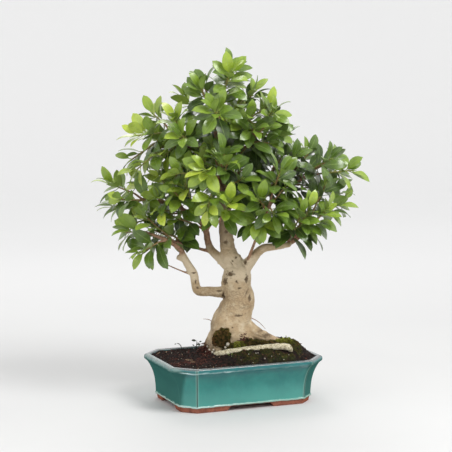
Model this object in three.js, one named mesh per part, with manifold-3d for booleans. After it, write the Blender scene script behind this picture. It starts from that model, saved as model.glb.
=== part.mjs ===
// A Chinese banyan (Ficus microcarpa) grown as a bonsai, in its glazed pot.
// Millimetres, +Z up. The origin is on the surface the pot stands on, below the pot's centre,
// with +X along the pot's long side and the front of the pot facing -Y.
//
// The tree is drawn in a frame of its own, turned about +Z, because it was potted with its best
// side a little to the left of the pot's front. In that frame +X is to the right of somebody who
// looks at the tree's best side, and +Y runs away from them.
import * as THREE from "three";
import { mergeVertices } from "three/addons/utils/BufferGeometryUtils.js";
import Module from "manifold-3d";

const wasm = await Module();
wasm.setup();

// Driving dimensions of the pot
const POT_LENGTH = 320;
const POT_DEPTH = 230;
const POT_CHAMFER = 39; // leg of each cut corner, at the rim
const FOOT_HEIGHT = 9.5;
const FLOOR_TOP = 18;
const RIM_TOP = 89.5;
const DRAIN_RADIUS = 10;
const DRAIN_OFFSET = 62; // of each drain hole from the middle, along the pot

// Driving dimensions of the soil and the tree
const CLEARANCE = 0.4; // between two pieces that touch
const SOIL_EDGE = 87; // height of the soil along the rim
const TREE_TURN = THREE.MathUtils.degToRad(-22.4);
const CROWN_CORE = new THREE.Vector3(-10, 5, 410); // shoots grow away from here
const SHOOT_RADIUS = 1.8;
const SHOOT_TIP_RADIUS = 1.4;
const BRANCHLET_RADIUS = 2.6;
const GOLDEN_ANGLE = Math.PI * (3 - Math.sqrt(5));

// Driving dimensions of a leaf
const LEAF_LENGTH = 45; // blade of a full-grown leaf
const LEAF_WIDTH_SHARE = 0.52;
const PETIOLE = 7.5;
const PETIOLE_RADIUS = 1.05; // where it meets the blade
const PETIOLE_ROOT = 1.1; // depth of its pointed root behind the shoot's middle line
const MIDRIB_THICKNESS = 1.4;
const LEAVES_PER_SHOOT = 6;
const LEAF_ROOM = 0.9; // kept free round each blade

const GLAZE = new THREE.MeshStandardMaterial({ color: 0x3f9c90, roughness: 0.18 });
const BARK = new THREE.MeshStandardMaterial({ color: 0xa8957a, roughness: 0.8 });
const SOIL = new THREE.MeshStandardMaterial({ color: 0x3a2c22, roughness: 0.95 });
const MESH_PLASTIC = new THREE.MeshStandardMaterial({ color: 0x2c2c2a, roughness: 0.6 });
const LEAF = new THREE.MeshStandardMaterial({ color: 0x4f8a32, roughness: 0.35 });
const YOUNG_LEAF = new THREE.MeshStandardMaterial({ color: 0x8fbf3a, roughness: 0.35 });

// Solids and meshes

function solidOf(geometry) {
  const bare = geometry.clone();
  bare.deleteAttribute("normal");
  bare.deleteAttribute("uv");
  const merged = mergeVertices(bare, 1e-4);
  return new wasm.Manifold(
    new wasm.Mesh({
      numProp: 3,
      vertProperties: merged.attributes.position.array,
      triVerts: new Uint32Array(merged.index.array),
    }),
  );
}

function geometryOf(solid) {
  const mesh = solid.getMesh();
  const geometry = new THREE.BufferGeometry();
  geometry.setAttribute("position", new THREE.BufferAttribute(mesh.vertProperties, 3));
  geometry.setIndex(new THREE.BufferAttribute(mesh.triVerts, 1));
  geometry.computeVertexNormals();
  return geometry;
}

function geometryFrom(points, faces) {
  const geometry = new THREE.BufferGeometry().setFromPoints(points);
  geometry.setIndex(faces.flat());
  return geometry;
}

// The largest body of a solid that a cut has left in pieces.
function largestOf(solid) {
  return solid.decompose().reduce((a, b) => (a.volume() >= b.volume() ? a : b));
}

function joined(solids) {
  return solids.reduce((whole, solid) => whole.add(solid));
}

function node(name, geometry, material) {
  const mesh = new THREE.Mesh(geometry, material);
  mesh.name = name;
  return mesh;
}

// Seeded random numbers from 0 to 1, the mulberry32 generator.
function randomFrom(seed) {
  let state = seed >>> 0;
  return () => {
    state = (state + 0x6d2b79f5) >>> 0;
    let t = state;
    t = Math.imul(t ^ (t >>> 15), t | 1);
    t ^= t + Math.imul(t ^ (t >>> 7), t | 61);
    return ((t ^ (t >>> 14)) >>> 0) / 4294967296;
  };
}

function smoothstep(from, to, x) {
  const t = THREE.MathUtils.clamp((x - from) / (to - from), 0, 1);
  return t * t * (3 - 2 * t);
}

// Closed surface through rings of points, each ring listed anticlockwise from above, bottom ring
// first. Two neighbouring rings may have different numbers of points, and an end may be one point.
function loft(rings) {
  const points = rings.flat();
  const faces = [];
  let start = 0;
  for (let r = 0; r + 1 < rings.length; r++) {
    const lower = rings[r].length;
    const upper = rings[r + 1].length;
    const next = start + lower;
    let i = 0;
    let j = 0;
    while ((lower > 1 && i < lower) || (upper > 1 && j < upper)) {
      const a = start + (i % lower);
      const b = next + (j % upper);
      const lowerIsBehind = upper === 1 || (lower > 1 && (i + 1) / lower <= (j + 1) / upper);
      if (lowerIsBehind) {
        i += 1;
        faces.push([a, start + (i % lower), b]);
      } else {
        j += 1;
        faces.push([a, next + (j % upper), b]);
      }
    }
    start = next;
  }
  for (let i = 1; i + 1 < rings[0].length; i++) faces.push([0, i + 1, i]);
  const top = rings.at(-1).length;
  for (let i = 1; i + 1 < top; i++) faces.push([start, start + i, start + i + 1]);
  return geometryFrom(points, faces);
}

// The pot: eight-sided in plan, a rectangle with its corners cut

function octagon(inset, z) {
  const x = POT_LENGTH / 2 - inset;
  const y = POT_DEPTH / 2 - inset;
  const leg = POT_CHAMFER - inset * (2 - Math.SQRT2);
  const corners = [
    [x - leg, -y], [x, -y + leg], [x, y - leg], [x - leg, y],
    [-x + leg, y], [-x, y - leg], [-x, -y + leg], [-x + leg, -y],
  ];
  return corners.map(([cx, cy]) => new THREE.Vector3(cx, cy, z));
}

// Outside of the wall from the foot up, over the rim and down the inside: [inset, height]
const WALL_OUTSIDE = [
  [21.2, FOOT_HEIGHT], [20.2, 11], [20.2, 13], [21.4, 15], [20.6, 30], [18.6, 45], [15, 58],
  [10.6, 68], [6, 75.5], [1.6, 79.5], [0.2, 81.5], [0, 84.5], [0.8, 87.8], [2.8, RIM_TOP],
];
const WALL_INSIDE = [
  [9, RIM_TOP], [11, 88], [13.5, 80], [18, 66], [25, 46], [28.5, 24], [30, FLOOR_TOP],
];

// The feet are a band that wraps each cut corner. The gaps between them narrow towards the pot.
const FOOT_INSET = 25;
const FOOT_INNER_INSET = 41;
const FOOT_FLARE = 2; // the feet are this much wider at the top
const FRONT_GAP = 80;
const SIDE_GAP = 60;
const FOOT_SLOPE = 10;

function makePot() {
  const body = solidOf(loft([...WALL_OUTSIDE, ...WALL_INSIDE].map(([inset, z]) => octagon(inset, z))));
  const footTop = FOOT_HEIGHT + 1;
  const band = solidOf(loft([octagon(FOOT_INSET, 0), octagon(FOOT_INSET - FOOT_FLARE, footTop)]));
  const hollow = solidOf(loft([octagon(FOOT_INNER_INSET, -1), octagon(FOOT_INNER_INSET, footTop + 1)]));
  let feet = band.subtract(hollow);
  const gaps = [
    { half: FRONT_GAP / 2, across: POT_DEPTH, turn: 0 },
    { half: SIDE_GAP / 2, across: POT_LENGTH, turn: Math.PI / 2 },
  ];
  for (const { half, across, turn } of gaps) {
    const arch = new THREE.Shape([
      new THREE.Vector2(-half - FOOT_SLOPE, -1), new THREE.Vector2(half + FOOT_SLOPE, -1),
      new THREE.Vector2(half, footTop + 1), new THREE.Vector2(-half, footTop + 1),
    ]);
    const prism = new THREE.ExtrudeGeometry(arch, { depth: across, bevelEnabled: false });
    prism.translate(0, 0, -across / 2).rotateX(Math.PI / 2).rotateZ(turn);
    feet = feet.subtract(solidOf(prism));
  }
  let pot = joined([body, ...feet.decompose()]);
  for (const x of [-DRAIN_OFFSET, DRAIN_OFFSET]) {
    const drain = new THREE.CylinderGeometry(DRAIN_RADIUS, DRAIN_RADIUS, 2 * FLOOR_TOP, 20);
    drain.rotateX(Math.PI / 2).translate(x, 0, FLOOR_TOP);
    pot = pot.subtract(solidOf(drain));
  }
  return pot;
}

// Plastic mesh over a drain hole, so that the soil stays in
const SCREEN_SIZE = 34;
const SCREEN_THICKNESS = 1.6;
const SCREEN_OPENING = 6;
const SCREEN_BAR = 2;
const SCREEN_Z = FLOOR_TOP + CLEARANCE;

function makeScreen(x) {
  const middle = (SCREEN_OPENING + SCREEN_BAR) / 2;
  let screen = solidOf(new THREE.BoxGeometry(SCREEN_SIZE, SCREEN_SIZE, SCREEN_THICKNESS));
  for (const cx of [-middle, middle]) {
    for (const cy of [-middle, middle]) {
      const hole = new THREE.BoxGeometry(SCREEN_OPENING, SCREEN_OPENING, 2 * SCREEN_THICKNESS);
      screen = screen.subtract(solidOf(hole.translate(cx, cy, 0)));
    }
  }
  return screen.translate([x, 0, SCREEN_Z + SCREEN_THICKNESS / 2]);
}

// The soil: fills the pot and rises to a bank round the foot of the tree

function toTree(x, y) {
  return new THREE.Vector2(x, y).rotateAround(new THREE.Vector2(), -TREE_TURN);
}

// The bank is an oval in the tree's frame, higher at the right, with an uneven surface.
const BANK_CENTRE = new THREE.Vector2(34, -4);
const BANK_HALF_LENGTH = 117;
const BANK_HALF_DEPTH = 83;
const BANK_HEIGHT = 23;
const BANK_RISE = 0.08; // more height for each millimetre to the right
const SOIL_COLUMNS = 12;
const SOIL_ROWS = 8;

function soilHeight(x, y) {
  const t = toTree(x, y);
  const reach = Math.hypot((t.x - BANK_CENTRE.x) / BANK_HALF_LENGTH, (t.y - BANK_CENTRE.y) / BANK_HALF_DEPTH);
  const bank = (BANK_HEIGHT + BANK_RISE * t.x) * (1 - smoothstep(0.66, 1.14, reach));
  const unevenness = 0.9 * Math.sin(x * 0.16 + y * 0.05) * Math.sin(y * 0.19 - x * 0.04);
  return SOIL_EDGE + bank + unevenness;
}

// A block whose top follows the ground and whose bottom is one point below the floor
function makeGround() {
  const plane = new THREE.PlaneGeometry(POT_LENGTH, POT_DEPTH, SOIL_COLUMNS, SOIL_ROWS);
  const grid = plane.attributes.position;
  const points = [];
  for (let i = 0; i < grid.count; i++) {
    const [x, y] = [grid.getX(i), grid.getY(i)];
    points.push(new THREE.Vector3(x, y, soilHeight(x, y)));
  }
  const stride = SOIL_COLUMNS + 1;
  const edge = [];
  for (let i = 0; i < SOIL_COLUMNS; i++) edge.push(SOIL_ROWS * stride + i);
  for (let j = SOIL_ROWS; j > 0; j--) edge.push(j * stride + SOIL_COLUMNS);
  for (let i = SOIL_COLUMNS; i > 0; i--) edge.push(i);
  for (let j = 0; j < SOIL_ROWS; j++) edge.push(j * stride);
  const first = points.length;
  const depth = FLOOR_TOP - 5;
  for (const i of edge) points.push(new THREE.Vector3(points[i].x, points[i].y, depth));
  const bottom = points.length;
  points.push(new THREE.Vector3(0, 0, depth));
  const faces = [];
  const index = plane.index.array;
  for (let i = 0; i < index.length; i += 3) faces.push([index[i], index[i + 1], index[i + 2]]);
  edge.forEach((i, k) => {
    const next = (k + 1) % edge.length;
    faces.push([i, first + next, edge[next]], [i, first + k, first + next]);
    faces.push([first + next, first + k, bottom]);
  });
  return solidOf(geometryFrom(points, faces));
}

function makeSoil(treeBase) {
  const wall = WALL_INSIDE.slice(1).reverse();
  const rings = wall.map(([inset, z]) => octagon(inset + CLEARANCE, z));
  rings[0].forEach((corner) => { corner.z += CLEARANCE; });
  rings.push(octagon(wall.at(-1)[0] + CLEARANCE, RIM_TOP + 2 * BANK_HEIGHT));
  let soil = solidOf(loft(rings)).intersect(makeGround());
  for (const x of [-DRAIN_OFFSET, DRAIN_OFFSET]) {
    const pocket = SCREEN_SIZE + 2 * CLEARANCE;
    const box = new THREE.BoxGeometry(pocket, pocket, 2 * (SCREEN_THICKNESS + CLEARANCE));
    soil = soil.subtract(solidOf(box.translate(x, 0, SCREEN_Z)));
  }
  return largestOf(soil.subtract(treeBase));
}

// Wood: round tubes along smooth lines

// A limb's line is a list of [x, y, z, radius], from its root to its end.
function limbLine(stations) {
  const curve = new THREE.CatmullRomCurve3(
    stations.map(([x, y, z]) => new THREE.Vector3(x, y, z)), false, "catmullrom", 0.5,
  );
  const radiusAt = (t) => {
    const at = Math.min(t * (stations.length - 1), stations.length - 1 - 1e-9);
    const i = Math.floor(at);
    return THREE.MathUtils.lerp(stations[i][3], stations[i + 1][3], at - i);
  };
  return { curve, radiusAt };
}

// Tube along a line. Its rings keep their turn from one to the next. grow makes it fatter, and
// swell gives the share of its radius at an angle round it and a place along it.
function tube({ curve, radiusAt }, sides, steps, grow = 0, swell = () => 1) {
  const rings = [];
  const steep = Math.abs(curve.getTangent(0).x) < 0.7;
  const side = new THREE.Vector3(steep ? 1 : 0, steep ? 0 : 1, 0);
  for (let s = 0; s <= steps; s++) {
    const t = s / steps;
    const along = curve.getTangent(t);
    side.addScaledVector(along, -side.dot(along)).normalize();
    const up = new THREE.Vector3().crossVectors(along, side);
    const centre = curve.getPoint(t);
    if (s === 0) centre.addScaledVector(along, -grow);
    if (s === steps) centre.addScaledVector(along, grow);
    const ring = [];
    for (let i = 0; i < sides; i++) {
      const angle = (2 * Math.PI * i) / sides;
      const radius = radiusAt(t) * swell(angle, t) + grow;
      ring.push(centre.clone()
        .addScaledVector(side, radius * Math.cos(angle))
        .addScaledVector(up, radius * Math.sin(angle)));
    }
    rings.push(ring);
  }
  return solidOf(loft(rings));
}

// Trunk, from the root plate in the soil to where the main limbs part
const TRUNK = [
  [-4, 2, 62, 50], [-4, 1, 88, 54], [-4, 0, 108, 49], [-4, 0, 128, 45], [-4, 0, 150, 40.5],
  [3, 0, 171, 36], [10, 0, 190, 32.5], [12, 0, 203, 32], [8, 0, 219, 29], [6, 0, 234, 27.5],
  [9, 0, 248, 26.5], [12, 0, 262, 22], [10, 2, 276, 12],
];
// Shallow flutes that run down into the roots
function trunkSwell(angle, t) {
  const low = 1 - smoothstep(0.15, 0.55, t);
  const flute = 0.09 * Math.cos(3 * angle + 0.6) + 0.05 * Math.cos(5 * angle - 1.1);
  const waist = 0.035 * Math.sin(2 * angle + 9 * t);
  return 1 + low * flute + waist;
}

// Roots. The surface root lies on the bank in front.
const ROOTS = {
  right: [
    [10, -4, 160, 19], [38, -8, 137, 15.5], [66, -12, 125, 10.5], [86, -14, 119, 7.5],
    [107, -16, 113, 5.5], [124, -20, 98, 4],
  ],
  left: [[-14, 2, 150, 22], [-34, 5, 122, 18], [-48, 9, 100, 12], [-60, 14, 80, 8]],
  back: [[0, 8, 145, 20], [6, 38, 119, 17], [20, 62, 102, 11], [34, 84, 84, 7]],
  back_left: [[-12, 6, 140, 16], [-34, 34, 112, 14], [-50, 56, 94, 9], [-62, 74, 80, 6]],
  front: [[-8, -6, 142, 17], [-20, -28, 112, 14], [-28, -40, 99, 10], [-36, -48, 84, 7]],
  surface: [
    [-20, -34, 98, 9], [-31, -50, 98.5, 7.4], [-20, -58, 103, 6.8], [0, -60, 107, 6.4],
    [24, -61, 110.5, 6.6], [50, -60, 113.5, 6.2], [76, -58, 116, 6.4], [96, -58, 116.5, 6],
    [108, -56, 112.5, 5.8], [110, -46, 104, 5],
  ],
};

// Limbs, named by where they lie when the tree's best side is looked at
const LIMBS = {
  low_left: [
    [14, 0, 212, 12], [-16, -2, 214, 11.5], [-46, -8, 217, 9.6], [-68, -12, 219, 9.4], [-74, -14, 235, 8.6],
    [-77, -17, 253, 8.2], [-88, -22, 272, 8], [-97, -28, 290, 7], [-103, -36, 304, 5],
    [-128, -42, 322, 4], [-158, -42, 334, 3],
  ],
  low_left_shoot: [[-77, -17, 250, 2.4], [-104, -22, 261, 1.9], [-130, -28, 273, 1.6]],
  mid_left: [
    [16, 4, 248, 15], [-6, 8, 262, 11], [-28, 14, 282, 9], [-43, 18, 296, 8.2], [-50, 20, 314, 7],
    [-53, 20, 332, 6.2], [-64, 16, 352, 5.2], [-92, 8, 374, 4.4], [-136, -2, 392, 3.8], [-176, -8, 398, 3],
  ],
  mid_left_side: [[-40, 17, 292, 4], [-62, 12, 298, 3.4], [-90, 2, 308, 3], [-120, -8, 318, 2.6]],
  mid_front: [[-53, 19, 334, 5], [-44, -8, 350, 3.8], [-26, -42, 358, 3]],
  leader: [
    [11, 2, 258, 22], [-4, 6, 280, 17], [-10, 8, 298, 15], [-14, 8, 336, 13], [-16, 4, 388, 11],
    [-18, 0, 438, 9.4], [-27, -2, 504, 7], [-34, -1, 548, 5], [-22, 0, 584, 3.4],
  ],
  right: [
    [14, -2, 250, 15], [36, -8, 279, 11], [49, -12, 295, 9.2], [62, -16, 304, 8], [85, -20, 307, 6.4],
    [104, -22, 311, 5.4], [128, -26, 326, 4.2], [152, -28, 350, 3.2],
  ],
  right_shoot: [
    [24, -8, 266, 3.6], [34, -22, 294, 3.2], [45, -42, 326, 2.9], [62, -62, 372, 2.8], [70, -70, 398, 2.6],
  ],
  back_right: [[-14, 8, 344, 9], [22, 24, 380, 7], [82, 38, 412, 5.4], [146, 30, 438, 3.4]],
  back: [[-15, 6, 366, 8], [0, 44, 404, 6], [12, 92, 444, 3.4]],
  back_left: [[-17, 3, 408, 7], [-52, 42, 432, 5.2], [-104, 76, 448, 3.2]],
  front: [[-17, 2, 398, 7], [-24, -38, 424, 5.4], [-38, -76, 450, 3.2]],
  high_left: [[-19, 0, 446, 7], [-66, 4, 496, 5], [-122, 2, 530, 3.2]],
  high_right: [[-23, -1, 472, 6], [20, -4, 508, 4.6], [58, -4, 540, 3]],
  high_front: [[-28, -2, 508, 4.4], [-26, -34, 530, 3.6], [-24, -60, 548, 2.8]],
  high_back: [[-26, -2, 500, 4.4], [-20, 36, 524, 3.6], [-10, 66, 544, 2.8]],
  far_back: [[30, 25, 384, 5], [66, 62, 424, 4], [86, 86, 462, 3]],
  low_left_stub: [[-95, -27, 283, 6.4], [-109, -31, 288, 4.8]],
  right_stub: [[98, -22, 310, 5.8], [111, -30, 312, 4.8]],
};

function linesOf(stationsByName) {
  return Object.fromEntries(
    Object.entries(stationsByName).map(([name, stations]) => [name, limbLine(stations)]),
  );
}
const LIMB_LINES = linesOf(LIMBS);
const ROOT_LINES = linesOf(ROOTS);

// What stands in the soil: the foot of the trunk and the roots
function makeBase(grow) {
  const trunk = tube(limbLine(TRUNK), 14, TRUNK.length - 1, grow, trunkSwell);
  const { surface, ...deep } = ROOT_LINES;
  const roots = Object.values(deep).map((line) => tube(line, 6, 3, grow));
  return joined([trunk, ...roots, tube(surface, 5, ROOTS.surface.length - 1, grow)]);
}

// The crown: pads of foliage at the limbs' ends. A pad's shoots fan out to its rim from places on
// its limb between the shares "from" and "to" of the limb's length. "young" is the share of its
// shoots that are fresh growth.

const PADS = [
  { limb: "leader", centre: [-18, 0, 606], half: [54, 58, 54], shoots: 4, young: 0.3 },
  { limb: "leader", to: 0.9, from: 0.8, centre: [-74, -8, 598], half: [32, 53, 31], shoots: 2, young: 0.4 },
  { limb: "high_left", centre: [-140, 0, 526], half: [48, 56, 43], shoots: 4, young: 0.75 },
  { limb: "high_right", centre: [54, -4, 539], half: [38, 60, 44], shoots: 4, young: 0.3 },
  { limb: "high_front", centre: [-34, -58, 556], half: [30, 30, 30], shoots: 1, young: 0 },
  { limb: "high_back", centre: [-10, 73, 562], half: [30, 30, 30], shoots: 1, young: 0.2 },
  { limb: "mid_left", centre: [-193, 10, 396], half: [62, 66, 46], shoots: 5, young: 0.6 },
  { limb: "low_left", centre: [-168, -30, 331], half: [44, 44, 36], shoots: 3, young: 0 },
  { limb: "back_right", centre: [181, 11, 449], half: [52, 68, 52], shoots: 5, young: 0.4 },
  { limb: "right", centre: [164, -17, 399], half: [54, 50, 28], shoots: 4, young: 0.55 },
  { limb: "front", centre: [-55, -71, 427], half: [59, 31, 56], shoots: 4, young: 0.6 },
  { limb: "right_shoot", centre: [69, -69, 413], half: [57, 41, 56], shoots: 3, young: 0.1 },
  { limb: "mid_front", centre: [8, -70, 398], half: [27, 33, 21], shoots: 1, young: 0.5 },
  { limb: "back", centre: [6, 106, 442], half: [58, 41, 54], shoots: 3, young: 0.1 },
  { limb: "back_left", centre: [-110, 64, 446], half: [40, 34, 50], shoots: 2, young: 0.3 },
  { limb: "far_back", centre: [96, 82, 468], half: [45, 38, 48], shoots: 2, young: 0.2 },
  { limb: "leader", to: 1, from: 0.9, centre: [15, -39, 618], half: [34, 30, 34], shoots: 1, young: 1 },
  { limb: "high_left", to: 0.95, from: 0.8, centre: [-178, -14, 468], half: [28, 34, 22], shoots: 2, young: 0.5 },
  { limb: "mid_left", to: 0.8, from: 0.6, centre: [-112, -44, 416], half: [40, 36, 32], shoots: 2, young: 0.6 },
  { limb: "high_left", to: 0.6, from: 0.4, centre: [-90, -52, 508], half: [47, 48, 42], shoots: 1, young: 0.5 },
  { limb: "high_right", to: 0.6, from: 0.4, centre: [27, -55, 515], half: [42, 28, 26], shoots: 1, young: 0.2 },
];
const LEAST_FORWARD = -0.35; // how far back the last shoot of a pad leans: 1 is straight out
const OUTWARD_LIFT = 0.35; // how much a pad's outward direction turns up towards the light
const SHOOT_TRIES = 8; // turns tried for a shoot that would cross other wood
const BRANCHLET_SHARE = 0.28; // of the way from the limb to the shoot's tip
const BRANCHLET_LEAST = 17;
const SHOOT_LIFT = 4; // how far a branchlet's end is bent upwards

// Where shoot i of pad p ends: the shoots' ends are spread evenly over the pad's outer side.
function shootTip(pad, p, i, attempt) {
  const centre = new THREE.Vector3(...pad.centre);
  const outward = centre.clone().sub(CROWN_CORE).normalize();
  outward.z += OUTWARD_LIFT;
  outward.normalize();
  const across = new THREE.Vector3(-outward.y, outward.x, 0).normalize();
  const above = new THREE.Vector3().crossVectors(outward, across);
  const forward = 1 - ((1 - LEAST_FORWARD) * (i + 0.4)) / Math.max(pad.shoots, 2);
  const sideways = Math.sqrt(1 - forward * forward);
  const angle = GOLDEN_ANGLE * i + 1.3 * p + 0.35 * attempt;
  return new THREE.Vector3()
    .addScaledVector(outward, forward)
    .addScaledVector(across, sideways * Math.cos(angle))
    .addScaledVector(above, sideways * Math.sin(angle))
    .multiply(new THREE.Vector3(...pad.half))
    .add(centre);
}

function shootOf(pad, p, i, number, attempt) {
  const limb = LIMB_LINES[pad.limb];
  const { to = 1, from = 0.7 } = pad;
  const at = THREE.MathUtils.lerp(to, from, i / pad.shoots);
  const tip = shootTip(pad, p, i, attempt);
  const foot = limb.curve.getPoint(at);
  const share = Math.max(BRANCHLET_SHARE, BRANCHLET_LEAST / foot.distanceTo(tip));
  const start = foot.clone().lerp(tip, share);
  start.z += SHOOT_LIFT;
  return {
    name: `spray_${String(number).padStart(2, "0")}`,
    seed: 1000 * (p + 1) + i,
    pad,
    foot,
    footRadius: Math.min(BRANCHLET_RADIUS, 0.9 * limb.radiusAt(at)),
    start,
    line: limbLine([[...start, SHOOT_RADIUS], [...tip, SHOOT_TIP_RADIUS]]),
    leaves: [],
  };
}

function makeShoots() {
  const wood = Object.values(LIMB_LINES).flatMap((line) => lineObstacles(line, 10));
  const stems = [];
  const shoots = [];
  for (const [p, pad] of PADS.entries()) {
    for (let i = 0; i < pad.shoots; i++) {
      for (let attempt = 0; attempt < SHOOT_TRIES; attempt++) {
        const shoot = shootOf(pad, p, i, shoots.length + 1, attempt);
        const stem = lineObstacles(shoot.line, 2);
        const branchlet = lineObstacles(branchletLine(shoot), 2);
        const blocked = anyCross(stem, wood) || anyCross(stem, stems) || anyCross(branchlet, stems);
        if (blocked && attempt + 1 < SHOOT_TRIES) continue;
        wood.push(...branchlet);
        stems.push(...stem);
        shoots.push(shoot);
        break;
      }
    }
  }
  return { shoots, wood };
}

// Woody branchlet from a limb to where a shoot begins
function branchletLine({ foot, footRadius, start, line }) {
  const lead = line.curve.getTangent(0);
  const bend = lead.angleTo(start.clone().sub(foot));
  const gap = CLEARANCE + SHOOT_RADIUS * Math.sin(bend);
  return limbLine([[...foot, footRadius], [...start.clone().addScaledVector(lead, -gap), SHOOT_RADIUS]]);
}

function makeTree(shoots) {
  const limbs = Object.entries(LIMB_LINES).map(([name, line]) => {
    const thick = line.radiusAt(0) > 8;
    return tube(line, thick ? 7 : 5, LIMBS[name].length - 1);
  });
  const branchlets = shoots.map((shoot) => tube(branchletLine(shoot), 4, 1));
  return joined([makeBase(0), ...limbs, ...branchlets]);
}

// Leaves

// A leaf in its own frame: x along the blade, y across it, z out of its upper face. The blade is
// folded a little along the midrib, rises from the petiole and bends down at the tip. A station
// gives the blade's width and rise at a share of its length.
const BLADE_STATIONS = [
  { share: 0.4, width: 1, rise: 0.053 },
  { share: 0.78, width: 0.68, rise: 0.025 },
];
const TIP_DROP = 0.07;
const FOLD = 0.12;

// Rings round a leaf from the end of its petiole to its tip. grow makes it fatter.
function bladeRings(length, grow) {
  const petiole = PETIOLE_RADIUS + 0.5 * grow;
  const start = PETIOLE - grow;
  const rings = [[[start, petiole, 0.6 * petiole], [start, -petiole, 0.6 * petiole], [start, 0, -petiole]]];
  for (const { share, width, rise } of BLADE_STATIONS) {
    const x = PETIOLE + share * length;
    const half = width * (0.5 * length * LEAF_WIDTH_SHARE + grow);
    const rib = rise * length;
    const thick = MIDRIB_THICKNESS / 2 + grow;
    const edge = rib + FOLD * half;
    rings.push([[x, half, edge], [x, 0, rib + thick], [x, -half, edge], [x, 0, rib - thick]]);
  }
  rings.push([[PETIOLE + length + grow, 0, -TIP_DROP * length]]);
  return rings;
}

function placed(rings, { origin, along, across, up }) {
  return rings.map((ring) => ring.map(([x, y, z]) => origin.clone()
    .addScaledVector(along, x)
    .addScaledVector(across, y)
    .addScaledVector(up, z)));
}

function leafSolid(leaf) {
  const root = [[-PETIOLE_ROOT, 0, 0]];
  return solidOf(loft(placed([root, ...bladeRings(leaf.length, 0)], leaf)));
}

// Leaves sit round a shoot at the golden angle, from its tip inwards: the young ones at the tip
// are shorter and point ahead, the old ones lean out and hang. A leaf that would cross something
// is turned by the next of LEAF_TURNS, and leans out more.
const LEAF_TURNS = [0, 0.5, -0.5, 1, -1, 1.6, -1.6];
const LEAFY_SHARE = 0.84; // of a shoot's length
const LEAN_AT_TIP = 32; // degrees from the shoot
const LEAN_STEP = 7.5; // more for each leaf further back
const LEAN_PER_TURN = 6;
// A blade's upper face turns to the light, and away from the core of the crown.
const LIGHT = new THREE.Vector3(0, -0.35, 1);
const LIGHT_OUTWARD = 0.45;

function leafPlace(shoot, k, turn) {
  const random = randomFrom(shoot.seed * 97 + k * 13 + 5);
  const shift = random();
  const [twist, tilt, size, roll] = [0, 0, 0, 0].map(() => random() - 0.5);
  const at = 1 - (LEAFY_SHARE * (k + 0.25 * shift)) / LEAVES_PER_SHOOT;
  const stem = shoot.line.curve.getTangent(at);
  const side = new THREE.Vector3(-stem.y, stem.x, 0.001).normalize();
  const over = new THREE.Vector3().crossVectors(stem, side);
  const angle = GOLDEN_ANGLE * k + 0.7 * shoot.seed + 0.9 * twist + LEAF_TURNS[turn];
  const lean = THREE.MathUtils.degToRad(LEAN_AT_TIP + LEAN_STEP * k + 24 * tilt + LEAN_PER_TURN * turn);
  const along = stem.clone().multiplyScalar(Math.cos(lean))
    .addScaledVector(side, Math.sin(lean) * Math.cos(angle))
    .addScaledVector(over, Math.sin(lean) * Math.sin(angle));
  along.z += 0.18 - 0.1 * k;
  along.normalize();
  const origin = shoot.line.curve.getPoint(at);
  const outward = origin.clone().sub(CROWN_CORE).setZ(0).normalize();
  const up = stem.clone().multiplyScalar(0.5).addScaledVector(outward, LIGHT_OUTWARD).add(LIGHT);
  up.addScaledVector(along, -up.dot(along)).normalize();
  up.addScaledVector(new THREE.Vector3().crossVectors(up, along), roll).normalize();
  return {
    origin,
    along,
    across: new THREE.Vector3().crossVectors(up, along),
    up,
    length: LEAF_LENGTH * (0.74 + 0.055 * Math.min(k, 5) + 0.28 * size),
  };
}

// A closed surface as triangles and edges with a sphere round them, for finding what crosses what.
function obstacleOf(rings) {
  const points = rings.flat();
  const index = loft(rings).index.array;
  const triangles = [];
  const edges = new Map();
  for (let f = 0; f < index.length; f += 3) {
    const face = [index[f], index[f + 1], index[f + 2]];
    triangles.push(face.map((i) => points[i]));
    face.forEach((i, k) => {
      const j = face[(k + 1) % 3];
      edges.set(`${Math.min(i, j)} ${Math.max(i, j)}`, [points[i], points[j]]);
    });
  }
  return { sphere: new THREE.Sphere().setFromPoints(points), triangles, edges: [...edges.values()] };
}

function edgeCrosses([a, b], [p, q, r]) {
  const e1 = q.clone().sub(p);
  const e2 = r.clone().sub(p);
  const way = b.clone().sub(a);
  const h = new THREE.Vector3().crossVectors(way, e2);
  const det = e1.dot(h);
  if (Math.abs(det) < 1e-12) return false;
  const s = a.clone().sub(p);
  const u = s.dot(h) / det;
  if (u < 0 || u > 1) return false;
  const cross = new THREE.Vector3().crossVectors(s, e1);
  const v = way.dot(cross) / det;
  if (v < 0 || u + v > 1) return false;
  const t = e2.dot(cross) / det;
  return t >= 0 && t <= 1;
}

function crosses(one, other) {
  if (!one.sphere.intersectsSphere(other.sphere)) return false;
  return one.edges.some((edge) => other.triangles.some((triangle) => edgeCrosses(edge, triangle)))
    || other.edges.some((edge) => one.triangles.some((triangle) => edgeCrosses(edge, triangle)));
}

function anyCross(bodies, others) {
  return bodies.some((body) => others.some((other) => crosses(body, other)));
}

// Short straight prisms round a line, a little fatter than what grows along it. owner is the
// shoot whose own leaves may touch them.
function lineObstacles({ curve, radiusAt }, steps, owner) {
  const sides = 5;
  const found = [];
  for (let s = 0; s < steps; s++) {
    const [from, to] = [s / steps, (s + 1) / steps];
    const along = curve.getPoint(to).sub(curve.getPoint(from)).normalize();
    const side = new THREE.Vector3(-along.y, along.x, 0.001).normalize();
    const up = new THREE.Vector3().crossVectors(along, side);
    const rings = [from, to].map((t) => Array.from({ length: sides }, (_, i) => {
      const angle = (2 * Math.PI * i) / sides;
      const radius = 1.15 * radiusAt(t) + CLEARANCE;
      return curve.getPoint(t)
        .addScaledVector(side, radius * Math.cos(angle))
        .addScaledVector(up, radius * Math.sin(angle));
    }));
    found.push({ ...obstacleOf(rings), owner });
  }
  return found;
}

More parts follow.
